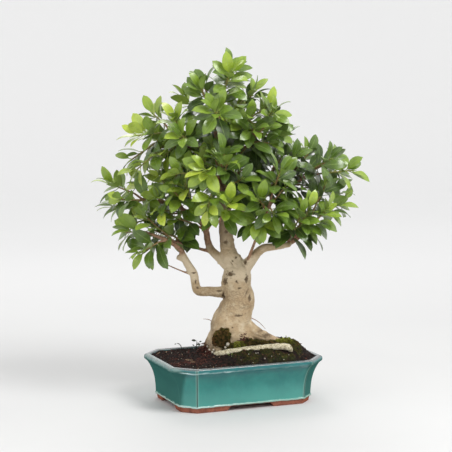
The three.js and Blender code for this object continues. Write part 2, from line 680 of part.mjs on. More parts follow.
// Leaves are placed from every shoot's tip inwards, each where it is clear of what is there.
function growLeaves(shoots, wood) {
  const taken = [...wood];
  for (const shoot of shoots) taken.push(...lineObstacles(shoot.line, 2, shoot));
  for (let k = 0; k < LEAVES_PER_SHOOT; k++) {
    for (const shoot of shoots) {
      for (let turn = 0; turn < LEAF_TURNS.length; turn++) {
        const leaf = leafPlace(shoot, k, turn);
        const blade = obstacleOf(placed(bladeRings(leaf.length, LEAF_ROOM), leaf));
        if (anyCross([blade], taken.filter((other) => other.owner !== shoot))) continue;
        taken.push(blade);
        shoot.leaves.push(leaf);
        break;
      }
    }
  }
}

function sprayOf(shoot) {
  const stem = tube(shoot.line, 4, 1);
  return largestOf(joined([stem, ...shoot.leaves.map(leafSolid)]));
}

// Put together

const bonsai = new THREE.Group();
const tree = new THREE.Group();
tree.rotation.z = TREE_TURN;
bonsai.add(tree);

const { shoots, wood } = makeShoots();
growLeaves(shoots, wood);
const hole = makeBase(CLEARANCE).rotate([0, 0, THREE.MathUtils.radToDeg(TREE_TURN)]);

bonsai.add(node("pot", geometryOf(makePot()), GLAZE));
bonsai.add(node("drain_screen_left", geometryOf(makeScreen(-DRAIN_OFFSET)), MESH_PLASTIC));
bonsai.add(node("drain_screen_right", geometryOf(makeScreen(DRAIN_OFFSET)), MESH_PLASTIC));
bonsai.add(node("soil", geometryOf(makeSoil(hole)), SOIL));
tree.add(node("tree", geometryOf(makeTree(shoots)), BARK));
for (const shoot of shoots) {
  const young = randomFrom(shoot.seed)() < shoot.pad.young;
  tree.add(node(shoot.name, geometryOf(sprayOf(shoot)), young ? YOUNG_LEAF : LEAF));
}

export default bonsai;
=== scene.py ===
# The looks of a Chinese banyan (Ficus microcarpa) grown as a bonsai, in its glazed pot.
#
# Places are worked out in millimetres in the pot's frame: +X along its long side, the front facing
# -Y, +Z up from the surface it stands on. The tree has a frame of its own, turned about +Z by
# TREE_TURN. Meshes are written in metres.
import math

import bpy
import numpy as np
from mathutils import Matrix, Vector, noise


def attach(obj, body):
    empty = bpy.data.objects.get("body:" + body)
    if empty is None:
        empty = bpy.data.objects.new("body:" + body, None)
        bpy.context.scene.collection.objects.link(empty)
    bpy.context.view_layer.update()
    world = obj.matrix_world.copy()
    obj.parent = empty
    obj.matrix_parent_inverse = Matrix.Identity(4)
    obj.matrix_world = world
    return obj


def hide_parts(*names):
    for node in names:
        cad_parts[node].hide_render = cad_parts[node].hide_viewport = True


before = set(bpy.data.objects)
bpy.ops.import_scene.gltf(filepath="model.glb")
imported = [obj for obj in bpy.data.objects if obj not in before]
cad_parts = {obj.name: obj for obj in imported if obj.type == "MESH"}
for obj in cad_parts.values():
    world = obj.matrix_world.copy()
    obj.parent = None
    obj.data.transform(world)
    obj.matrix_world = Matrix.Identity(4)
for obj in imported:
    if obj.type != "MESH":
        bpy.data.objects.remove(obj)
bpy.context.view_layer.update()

MILLIMETRE = 0.001
TREE_TURN = math.radians(-22.4)
GOLDEN_ANGLE = math.pi * (3 - math.sqrt(5))

# The camera looks a little down on the pot from its left front.
CAMERA_AZIMUTH = math.radians(22.42)
CAMERA_ELEVATION = math.radians(6.12)
CAMERA_DISTANCE = 2.8
CAMERA_LENS = 113.64
CAMERA_SENSOR = 36
AIM_RIGHT = -0.0136
AIM_HEIGHT = 0.3454


# Numbers, directions and smooth lines

def random_from(seed):
    """Seeded random numbers from 0 to 1, the mulberry32 generator."""
    mask = 0xFFFFFFFF
    state = seed & mask

    def draw():
        nonlocal state
        state = (state + 0x6D2B79F5) & mask
        t = (state ^ state >> 15) * (state | 1) & mask
        t ^= (t + ((t ^ t >> 7) * (t | 61) & mask)) & mask
        return (t ^ t >> 14) / (mask + 1)

    return draw


def unit(vector):
    return vector / np.linalg.norm(vector)


def lerp(a, b, share):
    return a + (b - a) * share


def smoothstep(start, end, x):
    t = np.clip((x - start) / (end - start), 0, 1)
    return t * t * (3 - 2 * t)


def plateau(start, full, fading, end, x):
    """Up from 0 to 1 between start and full, and down again between fading and end."""
    return smoothstep(start, full, x) * (1 - smoothstep(fading, end, x))


def turned(points, angle):
    """Points turned about +Z."""
    c, s = math.cos(angle), math.sin(angle)
    return points @ np.array([[c, s, 0], [-s, c, 0], [0, 0, 1.0]])


def in_tree(points):
    """Points of the pot's frame, in the tree's."""
    return turned(points, -TREE_TURN)


def level(points):
    """Points brought to height 0."""
    return points * [1, 1, 0]


def circle(count):
    """That many points [x, y] of a circle of radius 1."""
    angles = 2 * math.pi * np.arange(count) / count
    return np.stack([np.cos(angles), np.sin(angles)], 1)


def ring_at(flat, z):
    """Points [x, y] at a height."""
    return np.column_stack([flat, np.full(len(flat), z)])


def roughness_at(points, size, octaves=1):
    """Smooth noise from -1 to 1 at each point, with lumps of about that size in millimetres."""
    return np.array([noise.fractal(Vector(p), 1.0, 2.0, octaves) for p in points / size])


class Line:
    """A smooth line through stations [x, y, z, radius], from its root to its end."""

    def __init__(self, stations):
        rows = np.array(stations, float)
        self.points = rows[:, :3]
        self.radii = rows[:, 3]

    def point(self, t):
        last = len(self.points) - 1
        i = min(int(last * t), last - 1)
        share = last * t - i
        p1, p2 = self.points[i], self.points[i + 1]
        p0 = self.points[i - 1] if i > 0 else 2 * p1 - p2
        p3 = self.points[i + 2] if i + 2 <= last else 2 * p2 - p1
        t0, t1 = 0.5 * (p2 - p0), 0.5 * (p3 - p1)
        square = 3 * (p2 - p1) - 2 * t0 - t1
        cube = 2 * (p1 - p2) + t0 + t1
        return p1 + share * (t0 + share * (square + share * cube))

    def tangent(self, t):
        step = 1e-4
        return unit(self.point(min(t + step, 1)) - self.point(max(t - step, 0)))

    def radius(self, t):
        at = min(t * (len(self.radii) - 1), len(self.radii) - 1 - 1e-9)
        i = int(at)
        return lerp(self.radii[i], self.radii[i + 1], at - i)


# Meshes

def skin(rings, root, tip):
    """Closed surface over rings of points, from a root point to a tip point. Each ring runs
    anticlockwise when it is looked at from the tip."""
    rings = np.asarray(rings, float)
    count, around = rings.shape[:2]
    points = np.concatenate([rings.reshape(-1, 3), [root, tip]])
    here = np.arange(count * around).reshape(count, around)
    ahead = np.roll(here, -1, axis=1)
    a, b, c, d = here[:-1].ravel(), ahead[:-1].ravel(), here[1:].ravel(), ahead[1:].ravel()
    start, end = np.full(around, count * around), np.full(around, count * around + 1)
    faces = np.concatenate([
        np.stack([a, b, d], 1),
        np.stack([a, d, c], 1),
        np.stack([start, ahead[0], here[0]], 1),
        np.stack([end, here[-1], ahead[-1]], 1),
    ])
    return points, faces


def tube(line, sides, steps, swell=None, blunt=0.5):
    """Round tube along a line. swell gives the share of its radius at an angle and a place."""
    first = line.tangent(0)
    side = np.array([1.0, 0, 0]) if abs(first[0]) < 0.7 else np.array([0, 1.0, 0])
    angles = 2 * math.pi * np.arange(sides) / sides
    rings = []
    for s in range(steps + 1):
        t = s / steps
        along = line.tangent(t)
        side = unit(side - along * (side @ along))
        over = np.cross(along, side)
        radius = line.radius(t) * (swell(angles, t) if swell else np.ones(sides))
        way = np.outer(np.cos(angles), side) + np.outer(np.sin(angles), over)
        rings.append(line.point(t) + way * radius[:, None])
    root = line.point(0) - line.tangent(0) * blunt * line.radius(0)
    tip = line.point(1) + line.tangent(1) * blunt * line.radius(1)
    return skin(rings, root, tip)


def globe(rings, around, reach):
    """Ball of radius 1. Its rings lie up to that share of half a turn above and below the middle."""
    tilts = np.linspace(-reach, reach, rings) * math.pi
    made = [ring_at(circle(around) * math.cos(tilt), math.sin(tilt)) for tilt in tilts]
    return skin(made, [0, 0, -1.0], [0, 0, 1.0])


def looks_of(count, *numbers):
    """A look for each of so many points, from its first numbers. The others are 0."""
    looks = np.zeros((count, 4))
    for k, values in enumerate(numbers):
        looks[:, k] = values
    return looks


class Build:
    """Collects points, triangles, material numbers and a look for each corner: four numbers from
    0 to 1 that the material reads, each piece in its own way."""

    def __init__(self):
        self.points, self.faces, self.looks, self.materials = [], [], [], []
        self.count = 0

    def add(self, points, faces, look=(0, 0, 0, 0), material=0):
        """look is one for all, one for each point, or one for each face's corner."""
        look = np.asarray(look, float)
        if look.ndim == 1:
            look = np.broadcast_to(look, (len(faces), 3, 4))
        elif look.ndim == 2:
            look = look[faces]
        self.points.append(points)
        self.faces.append(faces + self.count)
        self.looks.append(look)
        self.materials.append(np.full(len(faces), material))
        self.count += len(points)

    def add_copies(self, points, faces, looks):
        """Adds copies of one small shape, given by the points of each and a look for each."""
        starts = np.arange(len(points))[:, None, None] * points.shape[1]
        corners = (faces[None] + starts).reshape(-1, 3)
        self.add(points.reshape(-1, 3), corners, np.repeat(looks, points.shape[1], axis=0))


def linked(name, data):
    """A new object in the scene."""
    made = bpy.data.objects.new(name, data)
    bpy.context.scene.collection.objects.link(made)
    return made


def mesh_object(name, points, faces):
    mesh = bpy.data.meshes.new(name)
    mesh.from_pydata((points * MILLIMETRE).tolist(), [], faces.tolist())
    return linked(name, mesh)


def piece(name, build, materials, nodes=(), turn=0.0, sharp=45.0):
    """A visible piece that rides on the object's body. nodes are the solids that it stands for."""
    points = turned(np.concatenate(build.points), turn)
    faces = np.concatenate(build.faces)
    made = mesh_object(name, points, faces)
    mesh = made.data
    looks = mesh.attributes.new("look", "FLOAT_COLOR", "CORNER")
    looks.data.foreach_set("color", np.concatenate(build.looks).astype(np.float32).ravel())
    for material in materials:
        mesh.materials.append(material)
    mesh.polygons.foreach_set("material_index", np.concatenate(build.materials).astype(np.int32))
    return finished(made, nodes, sharp)


def finished(made, nodes, sharp):
    made.data.shade_smooth()
    made.data.set_sharp_from_angle(angle=math.radians(sharp))
    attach(made, "root")
    if nodes:
        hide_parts(*nodes)
    return made


def with_modifiers(made):
    """The object with its modifiers worked into its mesh."""
    graph = bpy.context.evaluated_depsgraph_get()
    mesh = bpy.data.meshes.new_from_object(made.evaluated_get(graph))
    made.modifiers.clear()
    made.data = mesh
    return made


def combined(target, tools, operation):
    """The target joined with, or cut by, each of the closed tools."""
    for tool in tools:
        modifier = target.modifiers.new(operation, "BOOLEAN")
        modifier.operation = operation
        modifier.solver = "MANIFOLD"
        modifier.object = tool
    with_modifiers(target)
    for tool in tools:
        bpy.data.objects.remove(tool)
    return target


def mesh_arrays(mesh):
    """Points in millimetres and faces of a mesh whose faces are all triangles."""
    points = np.zeros(len(mesh.vertices) * 3, np.float32)
    mesh.vertices.foreach_get("co", points)
    faces = np.zeros(len(mesh.loops), np.int32)
    mesh.loops.foreach_get("vertex_index", faces)
    return points.reshape(-1, 3).astype(float) / MILLIMETRE, faces.reshape(-1, 3)


# Materials

def colour(red, green, blue):
    """A colour given as it is seen, from 0 to 255, in the renderer's linear numbers."""
    shares = [value / 255 for value in (red, green, blue)]
    linear = [s / 12.92 if s <= 0.04045 else ((s + 0.055) / 1.055) ** 2.4 for s in shares]
    return (*linear, 1.0)


class Material:
    """A material made of nodes. Sizes are in millimetres, places on axes in metres. A colour is a
    socket or three numbers from 0 to 255."""

    def __init__(self, name, **values):
        self.made = bpy.data.materials.new(name)
        self.made.use_nodes = True
        self.nodes = self.made.node_tree.nodes
        self.links = self.made.node_tree.links
        self.shader = self.nodes["Principled BSDF"]
        for socket, value in values.items():
            self.shader.inputs[socket.replace("_", " ")].default_value = value
        self.place = self.add("ShaderNodeTexCoord").outputs["Object"]
        look = self.add("ShaderNodeAttribute", attribute_name="look")
        split = self.add("ShaderNodeSeparateColor", {0: look.outputs["Color"]})
        self.look = [*split.outputs, look.outputs["Alpha"]]

    def add(self, kind, inputs=None, **settings):
        node = self.nodes.new(kind)
        for name, value in settings.items():
            setattr(node, name, value)
        for socket, value in (inputs or {}).items():
            if isinstance(value, bpy.types.NodeSocket):
                self.links.new(value, node.inputs[socket])
            else:
                node.inputs[socket].default_value = value
        return node

    def axes(self):
        return self.add("ShaderNodeSeparateXYZ", {0: self.place}).outputs

    def math(self, operation, *values, clamp=False):
        inputs = dict(enumerate(values))
        return self.add("ShaderNodeMath", inputs, operation=operation, use_clamp=clamp).outputs[0]

    def times(self, first, *others):
        for other in others:
            first = self.math("MULTIPLY", first, other)
        return first

    def plus(self, a, b):
        return self.math("ADD", a, b)

    def band(self, value, start, end, low=0.0, high=1.0):
        """low where the value is under start, high where it is over end, and smooth between."""
        inputs = {0: value, 1: start, 2: end, 3: low, 4: high}
        node = self.add("ShaderNodeMapRange", inputs, interpolation_type="SMOOTHSTEP")
        return node.outputs[0]

    def noise(self, size, detail=2.0, stretch=(1, 1, 1)):
        """Noise with lumps of about that size, longer along each axis by its stretch."""
        scale = [1 / (size * MILLIMETRE * s) for s in stretch]
        place = self.add("ShaderNodeMapping", {"Vector": self.place, "Scale": scale})
        inputs = {"Vector": place.outputs[0], "Scale": 1.0, "Detail": detail}
        return self.add("ShaderNodeTexNoise", inputs).outputs[0]

    def spots(self, size, detail, *limits):
        """Spots of about that size, with the limits of a band of the noise."""
        return self.band(self.noise(size, detail), *limits)

    def mix(self, share, under, over):
        under, over = [colour(*c) if isinstance(c, tuple) else c for c in (under, over)]
        inputs = {0: share, 6: under, 7: over}
        return self.add("ShaderNodeMix", inputs, data_type="RGBA").outputs[2]

    def layers(self, base, *layers):
        """The base colour under layers, each given by its share and its colour."""
        for share, shade in layers:
            base = self.mix(share, base, shade)
        return base

    def ramp(self, value, stops):
        node = self.add("ShaderNodeValToRGB", {0: value})
        ramp = node.color_ramp
        while len(ramp.elements) < len(stops):
            ramp.elements.new(0.5)
        for element, (at, shade) in zip(ramp.elements, stops):
            element.position = at
            element.color = colour(*shade)
        return node.outputs[0]

    def bump(self, height, depth):
        """Relief of that depth in millimetres."""
        inputs = {"Height": height, "Distance": depth * MILLIMETRE, "Strength": 1.0}
        self.links.new(self.add("ShaderNodeBump", inputs).outputs[0], self.shader.inputs["Normal"])

    def drive(self, socket, value):
        self.links.new(value, self.shader.inputs[socket])


def glaze_material():
    """Glossy glaze over brick-red clay. look: 0 is how near to an edge the glaze breaks on."""
    m = Material("turquoise_glaze", Coat_Roughness=0.04)
    along, _, height = m.axes()
    line = m.plus(height, m.spots(10, 3, 0.3, 0.7, -0.0008, 0.0008))  # where glaze runs unevenly
    edge = m.times(m.look[0], m.band(m.math("ABSOLUTE", along), 0.124, 0.136, 1, 0.2))
    # Painted shade: the glaze is darker, with less coat and specular, towards both end walls below the
    # rim.
    ends = m.math("MAXIMUM", m.band(along, -0.130, -0.1385), m.band(along, 0.106, 0.116))
    ends = m.times(ends, m.band(height, 0.0860, 0.0835, 0, 0.8))
    rim = m.times(m.band(height, 0.0862, 0.0885), m.spots(14, 4, 0.2, 0.6, 0.5, 1))
    dust = m.mix(m.noise(8, 3), (92, 119, 121), (122, 110, 110))
    dust = m.mix(m.spots(2.6, 3, 0.5, 0.64, 0, 0.6), dust, (62, 56, 52))
    # Painted highlights, strongest near the left front corner: a glint under the rim's lip and a whiter
    # glaze bead.
    corner = m.times(m.band(along, -0.02, -0.07, 0.1, 1), m.band(along, -0.150, -0.135))
    gleam = m.times(m.band(line, 0.0790, 0.0802), m.band(line, 0.0834, 0.0820), corner)
    lip = m.times(m.band(height, 0.0800, 0.0845), m.band(along, -0.140, -0.150))
    # Painted highlight along the glaze bead above the foot.
    painted_bead_highlight = m.times(m.band(line, 0.0102, 0.0112), m.band(line, 0.0145, 0.0125), 0.65)
    glaze = m.layers(
        m.mix(m.spots(38, 3, 0.35, 0.65), (28, 114, 110), (40, 130, 122)),
        (m.band(m.noise(9, 3, (1, 1, 3.5)), 0.45, 0.75, 0, 0.3), (26, 104, 106)),  # runs
        (m.band(height, 0.060, 0.018, 0, 0.45), (92, 164, 152)),  # thinner towards the foot
        (m.band(height, 0.066, 0.0785, 0, 0.6), (20, 88, 96)),  # painted shade under the rim's flare
        # painted shade towards the ends
        (ends, (58, 94, 88)),
        (m.band(edge, 0.12, 0.4, 0, 0.7), (112, 156, 146)),  # pale beside an edge: thinner glaze and painted highlight
        (m.band(edge, 0.45, 0.75, 0, 0.85), (44, 58, 54)),  # and dark on it
        (rim, dust),
        # painted glint under the rim's lip
        (m.times(gleam, m.spots(22, 3, 0.3, 0.6, 0.2, 0.8)), (206, 230, 230)),
        (m.times(lip, m.spots(9, 3, 0.3, 0.65, 0.15, 0.65)), (124, 148, 142)),
        # painted highlight on the bead, whiter near the left front corner
        (painted_bead_highlight, m.mix(corner, (170, 200, 184), (208, 230, 222))),
    )
    bare = m.band(line, 0.0108, 0.0100)
    clay = m.mix(m.spots(7, 4, 0.35, 0.7), (160, 98, 76), (126, 74, 58))
    clay = m.mix(m.band(height, 0.003, 0.0, 0, 0.5), clay, (92, 58, 48))
    m.drive("Base Color", m.mix(bare, glaze, clay))
    m.drive("Roughness", m.band(bare, 0.3, 0.8, 0.12, 0.8))
    m.drive("Coat Weight", m.band(m.plus(bare, ends), 0.0, 0.8, 0.35, 0.0))
    m.drive("Specular IOR Level", m.band(ends, 0, 0.8, 0.42, 0.0))
    m.bump(m.plus(m.noise(16, 2), m.times(m.noise(1.2, 3), bare)), 0.35)
    return m.made


def bark_material():
    """look: 0 from old trunk to twig, 1 scar, stain and painted shade, 2 moss stain, 3 pale root."""
    m = Material("ficus_bark", Roughness=0.78)
    twig, scar, moss, pale = m.look
    across, _, height = m.axes()
    patch = m.noise(26, 4)
    rows = m.noise(1.6, 3, (3.2, 3.2, 1))
    # Painted light: a paler band where the upper trunk is lit.
    light = m.times(m.band(height, 0.232, 0.248, 0, 0.5), m.band(height, 0.296, 0.278))
    # Painted shade in the wrinkles of the trunk's waist, weaker on its lit right side.
    waist = m.times(m.band(height, 0.170, 0.190, 0, 0.6), m.band(height, 0.232, 0.216))
    waist = m.times(waist, m.spots(3, 2, 0.46, 0.6, 0.25, 1), m.band(across, 0.03, 0.016, 0.3, 1))
    # Older, darker bark on the leader, with painted shade on its left side.
    aged_and_shaded = m.times(m.band(height, 0.290, 0.318, 0, 0.85), m.band(patch, 0.2, 0.6, 0.6, 1))
    aged_and_shaded = m.times(aged_and_shaded, m.band(m.math("ABSOLUTE", across), 0.05, 0.034))
    earth = m.plus(height, m.spots(15, 3, 0.3, 0.7, -0.014, 0.014))
    young = m.mix(m.spots(5, 3, 0.35, 0.65), (162, 126, 98), (124, 94, 72))
    root = m.mix(m.spots(4, 4, 0.3, 0.7), (208, 202, 176), (160, 148, 118))
    root = m.mix(m.spots(3, 4, 0.54, 0.66, 0, 0.8), root, (92, 80, 52))
    stain = m.band(m.plus(moss, m.times(m.noise(4, 4), 0.5)), 0.45, 0.85)
    mark = m.band(m.plus(scar, m.times(m.noise(2.2, 3), 0.5)), 0.42, 1.1)
    bark = m.layers(
        m.mix(m.band(patch, 0.3, 0.7), (192, 172, 140), (170, 146, 112)),
        (m.spots(11, 3, 0.5, 0.75, 0, 0.55), (206, 192, 164)),  # pale patches
        (m.band(rows, 0.52, 0.72, 0, 0.5), (132, 110, 82)),  # flat dark grain
        (m.spots(3.5, 3, 0.6, 0.75, 0, 0.55), (112, 92, 68)),  # flecks
        # painted light on the upper trunk
        (light, (226, 210, 182)),
        # painted shade at the waist
        (waist, (132, 110, 80)),
        # older bark, with painted shade towards the left
        (m.times(aged_and_shaded, m.band(across, -0.008, -0.022, 0.4, 1)), (132, 112, 88)),
        (m.band(earth, 0.122, 0.094, 0, 0.75), (98, 72, 50)),  # splashed with soil
        (m.band(twig, 0.25, 0.85), young),
        (pale, root),
        (stain, m.mix(m.noise(3, 3), (92, 88, 44), (58, 50, 30))),
        # scars, stains and painted shade in hollows and creases
        (mark, m.mix(m.noise(2, 2), (122, 100, 70), (56, 44, 32))),
    )
    m.drive("Base Color", bark)
    m.bump(m.plus(m.times(rows, 0.6), m.times(m.noise(4, 4), 0.6)), 0.9)
    return m.made


LEAF_SHADES = [  # from old to fresh, and the orange of a leaf about to fall
    (0.0, (36, 50, 17)), (0.2, (57, 81, 25)), (0.42, (91, 119, 35)), (0.6, (124, 151, 45)),
    (0.78, (158, 180, 58)), (0.94, (192, 205, 78)), (1.0, (214, 156, 40)),
]


def leaf_material(name, gloss):
    """look: 0 shade from old to fresh, 1 way from the midrib to the edge, 2 way from the petiole to
    the tip, 3 underside."""
    m = Material(name, Coat_Weight=0.4, Coat_Roughness=0.2)
    shade, across, along, under = m.look
    shade = m.math("ADD", shade, m.spots(9, 3, 0.25, 0.75, -0.05, 0.05), clamp=True)
    blade = m.ramp(shade, LEAF_SHADES)
    paler = m.mix(0.5, blade, (150, 176, 92))
    slant = m.math("SUBTRACT", m.times(along, 10.0), m.times(across, 2.4))
    vein = m.band(m.math("PINGPONG", slant, 0.5), 0.07, 0.0)
    rib_width = m.band(along, 0.0, 1.0, 0.12, 0.04)
    rib = m.band(m.math("DIVIDE", across, rib_width), 1.0, 0.5)
    blade = m.layers(blade, (m.times(vein, 0.22), paler), (m.times(rib, 0.8), paler))
    back = m.mix(0.35, blade, (150, 172, 110))
    foot = m.band(along, 0.01, 0.0, 0, 0.6)
    blade = m.layers(blade, (m.times(under, 0.8), back), (foot, (150, 160, 70)))
    m.drive("Base Color", blade)
    m.drive("Roughness", m.spots(12, 2, 0.3, 0.7, gloss, gloss + 0.14))
    m.bump(m.math("SUBTRACT", m.times(m.noise(5, 2), 0.5), m.plus(vein, rib)), 0.25)
    return m.made


def stem_material():
    """look: 0 from woody to green."""
    m = Material("green_stem", Roughness=0.6)
    wood = m.mix(m.spots(3, 3, 0.35, 0.65), (152, 104, 74), (104, 74, 52))
    green = m.mix(m.spots(4, 3, 0.35, 0.65), (142, 160, 74), (112, 132, 58))
    m.drive("Base Color", m.mix(m.look[0], wood, green))
    m.bump(m.noise(1.5, 3), 0.3)
    return m.made


def soil_material():
    """look: 0 from black peat to red bark, 1 moss, 2 straw."""
    m = Material("potting_soil", Roughness=0.95, Specular_IOR_Level=0.15)
    ground = m.layers(
        m.mix(m.spots(5, 4, 0.35, 0.65), (17, 14, 13), (38, 31, 27)),
        (m.look[0], m.mix(m.spots(3, 3, 0.35, 0.65), (116, 72, 62), (68, 41, 36))),
        (m.look[1], m.mix(m.spots(6, 3, 0.4, 0.7), (32, 36, 16), (60, 66, 26))),
        (m.look[2], m.mix(m.noise(4, 2), (150, 120, 92), (196, 170, 138))),
    )
    m.drive("Base Color", ground)
    m.bump(m.noise(1.4, 4), 0.8)
    return m.made


def moss_material():
    """look: 0 from dark to fresh green, 1 from green to brown."""
    m = Material("moss", Roughness=0.9, Specular_IOR_Level=0.2)
    greens = [(0.0, (34, 34, 16)), (0.4, (62, 66, 26)), (0.75, (112, 122, 42)), (1.0, (170, 176, 72))]
    brown = m.mix(m.spots(5, 3, 0.38, 0.64), (46, 34, 18), (142, 104, 62))
    m.drive("Base Color", m.mix(m.look[1], m.ramp(m.look[0], greens), brown))
    m.bump(m.noise(0.8, 2), 0.2)
    return m.made


def spotted_material(name, roughness, spots, shades, relief):
    """Two shades in spots. relief is its size, detail and depth."""
    m = Material(name, Roughness=roughness)
    m.drive("Base Color", m.mix(m.spots(*spots), *shades))
    m.bump(m.noise(*relief[:2]), relief[2])
    return m.made


def grain_material():
    shades = (196, 190, 176), (138, 128, 110)
    return spotted_material("white_grain", 0.85, (2.5, 3, 0.3, 0.7), shades, (0.8, 3, 0.25))


def plastic_material():
    shades = (46, 46, 44), (30, 30, 29)
    return spotted_material("mesh_plastic", 0.55, (6, 3, 0.3, 0.7), shades, (1.0, 2, 0.1))


# The pot: eight-sided in plan, a rectangle with its corners cut

POT_LENGTH = 320
POT_DEPTH = 230
POT_CHAMFER = 39
FOOT_HEIGHT = 9.5
FLOOR_TOP = 18
RIM_TOP = 89.5
DRAIN_RADIUS = 10
DRAIN_OFFSET = 62
# The wall from the foot up and over the rim, then down inside: [inset, height]
WALL_OUTSIDE = [
    [21.2, FOOT_HEIGHT], [20.2, 11], [20.2, 13], [21.4, 15], [20.6, 30], [18.6, 45], [15, 58],
    [10.6, 68], [6, 75.5], [1.6, 79.5], [0.2, 81.5], [0, 84.5], [0.8, 87.8], [2.8, RIM_TOP],
]
WALL_INSIDE = [[9, RIM_TOP], [11, 88], [13.5, 80], [18, 66], [25, 46], [28.5, 24], [30, FLOOR_TOP]]
FOOT_INSET = 25
FOOT_INNER_INSET = 41
FOOT_FLARE = 2
FRONT_GAP = 80
SIDE_GAP = 60
FOOT_SLOPE = 10
CORNER_ROUNDING = 2.2
CORNER_STEPS = 6
NEAR_CORNER = [0.8, 2.5]  # extra points this far from each corner
SIDE_SPACING = 8
EDGE_BREAK = 2.1  # how far the glaze is thin beside an upright edge
FOOT_ROUNDING = 3  # of the corners of the feet, in plan
FOOT_SOFTNESS = 0.9  # of their edges
HAND_MADE = 0.45  # how far the wall is out of true
HAND_MADE_SIZE = 55  # size of the places where it is
DRAIN_AROUND = 48


def octagon_corners(inset):
    x, y = POT_LENGTH / 2 - inset, POT_DEPTH / 2 - inset
    leg = POT_CHAMFER - inset * (2 - math.sqrt(2))
    return np.array([
        [x - leg, -y], [x, -y + leg], [x, y - leg], [x - leg, y],
        [-x + leg, y], [-x, y - leg], [-x, -y + leg], [-x + leg, -y],
    ])


def side_lengths(inset):
    corners = octagon_corners(inset)
    return np.linalg.norm(np.roll(corners, -1, axis=0) - corners, axis=1)


SIDE_STEPS = [round(length / SIDE_SPACING) for length in side_lengths(0)]


def octagon(inset, z, rounding=CORNER_ROUNDING):
    """Ring round the pot, with rounded corners."""
    corners = octagon_corners(inset)
    points = []
    reach = rounding * math.tan(math.pi / 8)
    for corner, before, after, steps in zip(
        corners, np.roll(corners, 1, axis=0), np.roll(corners, -1, axis=0), SIDE_STEPS
    ):
        back, ahead = unit(before - corner), unit(after - corner)
        start, end = corner + back * reach, corner + ahead * reach
        for t in np.linspace(0, 1, CORNER_STEPS + 1):
            points.append((1 - t) ** 2 * start + 2 * t * (1 - t) * corner + t * t * end)
        length = np.linalg.norm(after - corner) - 2 * reach
        even = np.linspace(0, length, steps + 1)[1:-1]
        for place in [*NEAR_CORNER, *even, *(length - near for near in reversed(NEAR_CORNER))]:
            points.append(end + ahead * place)
    return ring_at(points, z)


def side_distances(x, y):
    """How far a point is inside the rim's long side, its end and its cut corner."""
    half_length, half_depth = POT_LENGTH / 2, POT_DEPTH / 2
    cut = (half_length + half_depth - POT_CHAMFER - x - y) / math.sqrt(2)
    return np.stack([half_length - x, half_depth - y, cut])


def smooth_profile(stations, steps):
    """Points on a smooth line through stations [inset, height]."""
    line = Line([[inset, height, 0, 0] for inset, height in stations])
    places = np.linspace(0, 1, (len(stations) - 1) * steps + 1)
    return [line.point(t)[:2] for t in places]


def octagon_solid(name, levels, rounding):
    """Closed solid through octagons, each given by its inset and height."""
    rings = [octagon(inset, z, rounding) for inset, z in levels]
    middles = [np.array([0, 0, z]) for z in (levels[0][1], levels[-1][1])]
    return mesh_object(name, *skin(rings, *middles))


def make_feet():
    top = FOOT_HEIGHT + 1
    outline = [[FOOT_INSET, 0], [FOOT_INSET - FOOT_FLARE, top]]
    feet = octagon_solid("feet", outline, FOOT_ROUNDING)
    hollow = [[FOOT_INNER_INSET, -1], [FOOT_INNER_INSET, top + 1]]
    cuts = [octagon_solid("hollow", hollow, FOOT_ROUNDING)]
    gaps = [(FRONT_GAP / 2, POT_DEPTH, 0), (SIDE_GAP / 2, POT_LENGTH, math.pi / 2)]
    for half, across, turn in gaps:
        wide = half + FOOT_SLOPE
        ring = np.array([
            [[-wide, y, -1], [wide, y, -1], [half, y, top + 1], [-half, y, top + 1]]
            for y in (across / 2, -across / 2)
        ])
        points, faces = skin(turned(ring, turn), ring[0].mean(0), ring[1].mean(0))
        points[-2:] = turned(points[-2:], turn)
        cuts.append(mesh_object("gap", points, faces))
    combined(feet, cuts, "DIFFERENCE")
    bevel = feet.modifiers.new("soft_edges", "BEVEL")
    bevel.width = FOOT_SOFTNESS * MILLIMETRE
    bevel.segments = 3
    bevel.limit_method = "ANGLE"
    bevel.angle_limit = math.radians(35)
    return with_modifiers(feet)


def make_pot():
    wall = smooth_profile(WALL_OUTSIDE, 5)[:-1]
    wall += smooth_profile([WALL_OUTSIDE[-1], *WALL_INSIDE], 4)
    rings = [octagon(inset, z) for inset, z in wall]
    points, faces = skin(rings, [0, 0, FOOT_HEIGHT], [0, 0, FLOOR_TOP])
    uneven = roughness_at(points, HAND_MADE_SIZE) * HAND_MADE
    uneven = uneven * smoothstep(FLOOR_TOP - 7, 30, points[:, 2])
    outward = level(points) / (np.linalg.norm(points[:, :2], axis=1) + 1)[:, None]
    points += outward * uneven[:, None]
    pot = mesh_object("pot_glazed", points, faces)
    combined(pot, [make_feet()], "UNION")
    drains = []
    for x in (-DRAIN_OFFSET, DRAIN_OFFSET):
        ring = DRAIN_RADIUS * circle(DRAIN_AROUND) + [x, 0]
        rings = [ring_at(ring, z) for z in (0, 2 * FLOOR_TOP)]
        drains.append(mesh_object("drain", *skin(rings, [x, 0, 0], [x, 0, 2 * FLOOR_TOP])))
    combined(pot, drains, "DIFFERENCE")
    paint_edges(pot)
    pot.data.materials.clear()
    pot.data.materials.append(glaze_material())
    return finished(pot, ["pot"], 38)


def paint_edges(pot):
    """Notes for the glaze how near each point is to one of the upright edges."""
    points = np.abs([vertex.co[:] for vertex in pot.data.vertices]) / MILLIMETRE
    sides = np.sort(side_distances(points[:, 0], points[:, 1]), axis=0)
    distance = (sides[1] - sides[0]) * math.sqrt(2)
    looks = pot.data.attributes.new("look", "FLOAT_COLOR", "POINT")
    colours = looks_of(len(points), np.exp(-distance / EDGE_BREAK)).astype(np.float32)
    looks.data.foreach_set("color", colours.ravel())


# Plastic mesh over the drain holes

SCREEN_SIZE = 34
SCREEN_THICKNESS = 1.2
SCREEN_Z = FLOOR_TOP + 0.5
SCREEN_PITCH = 34 / 12
SCREEN_BAR = 1.1


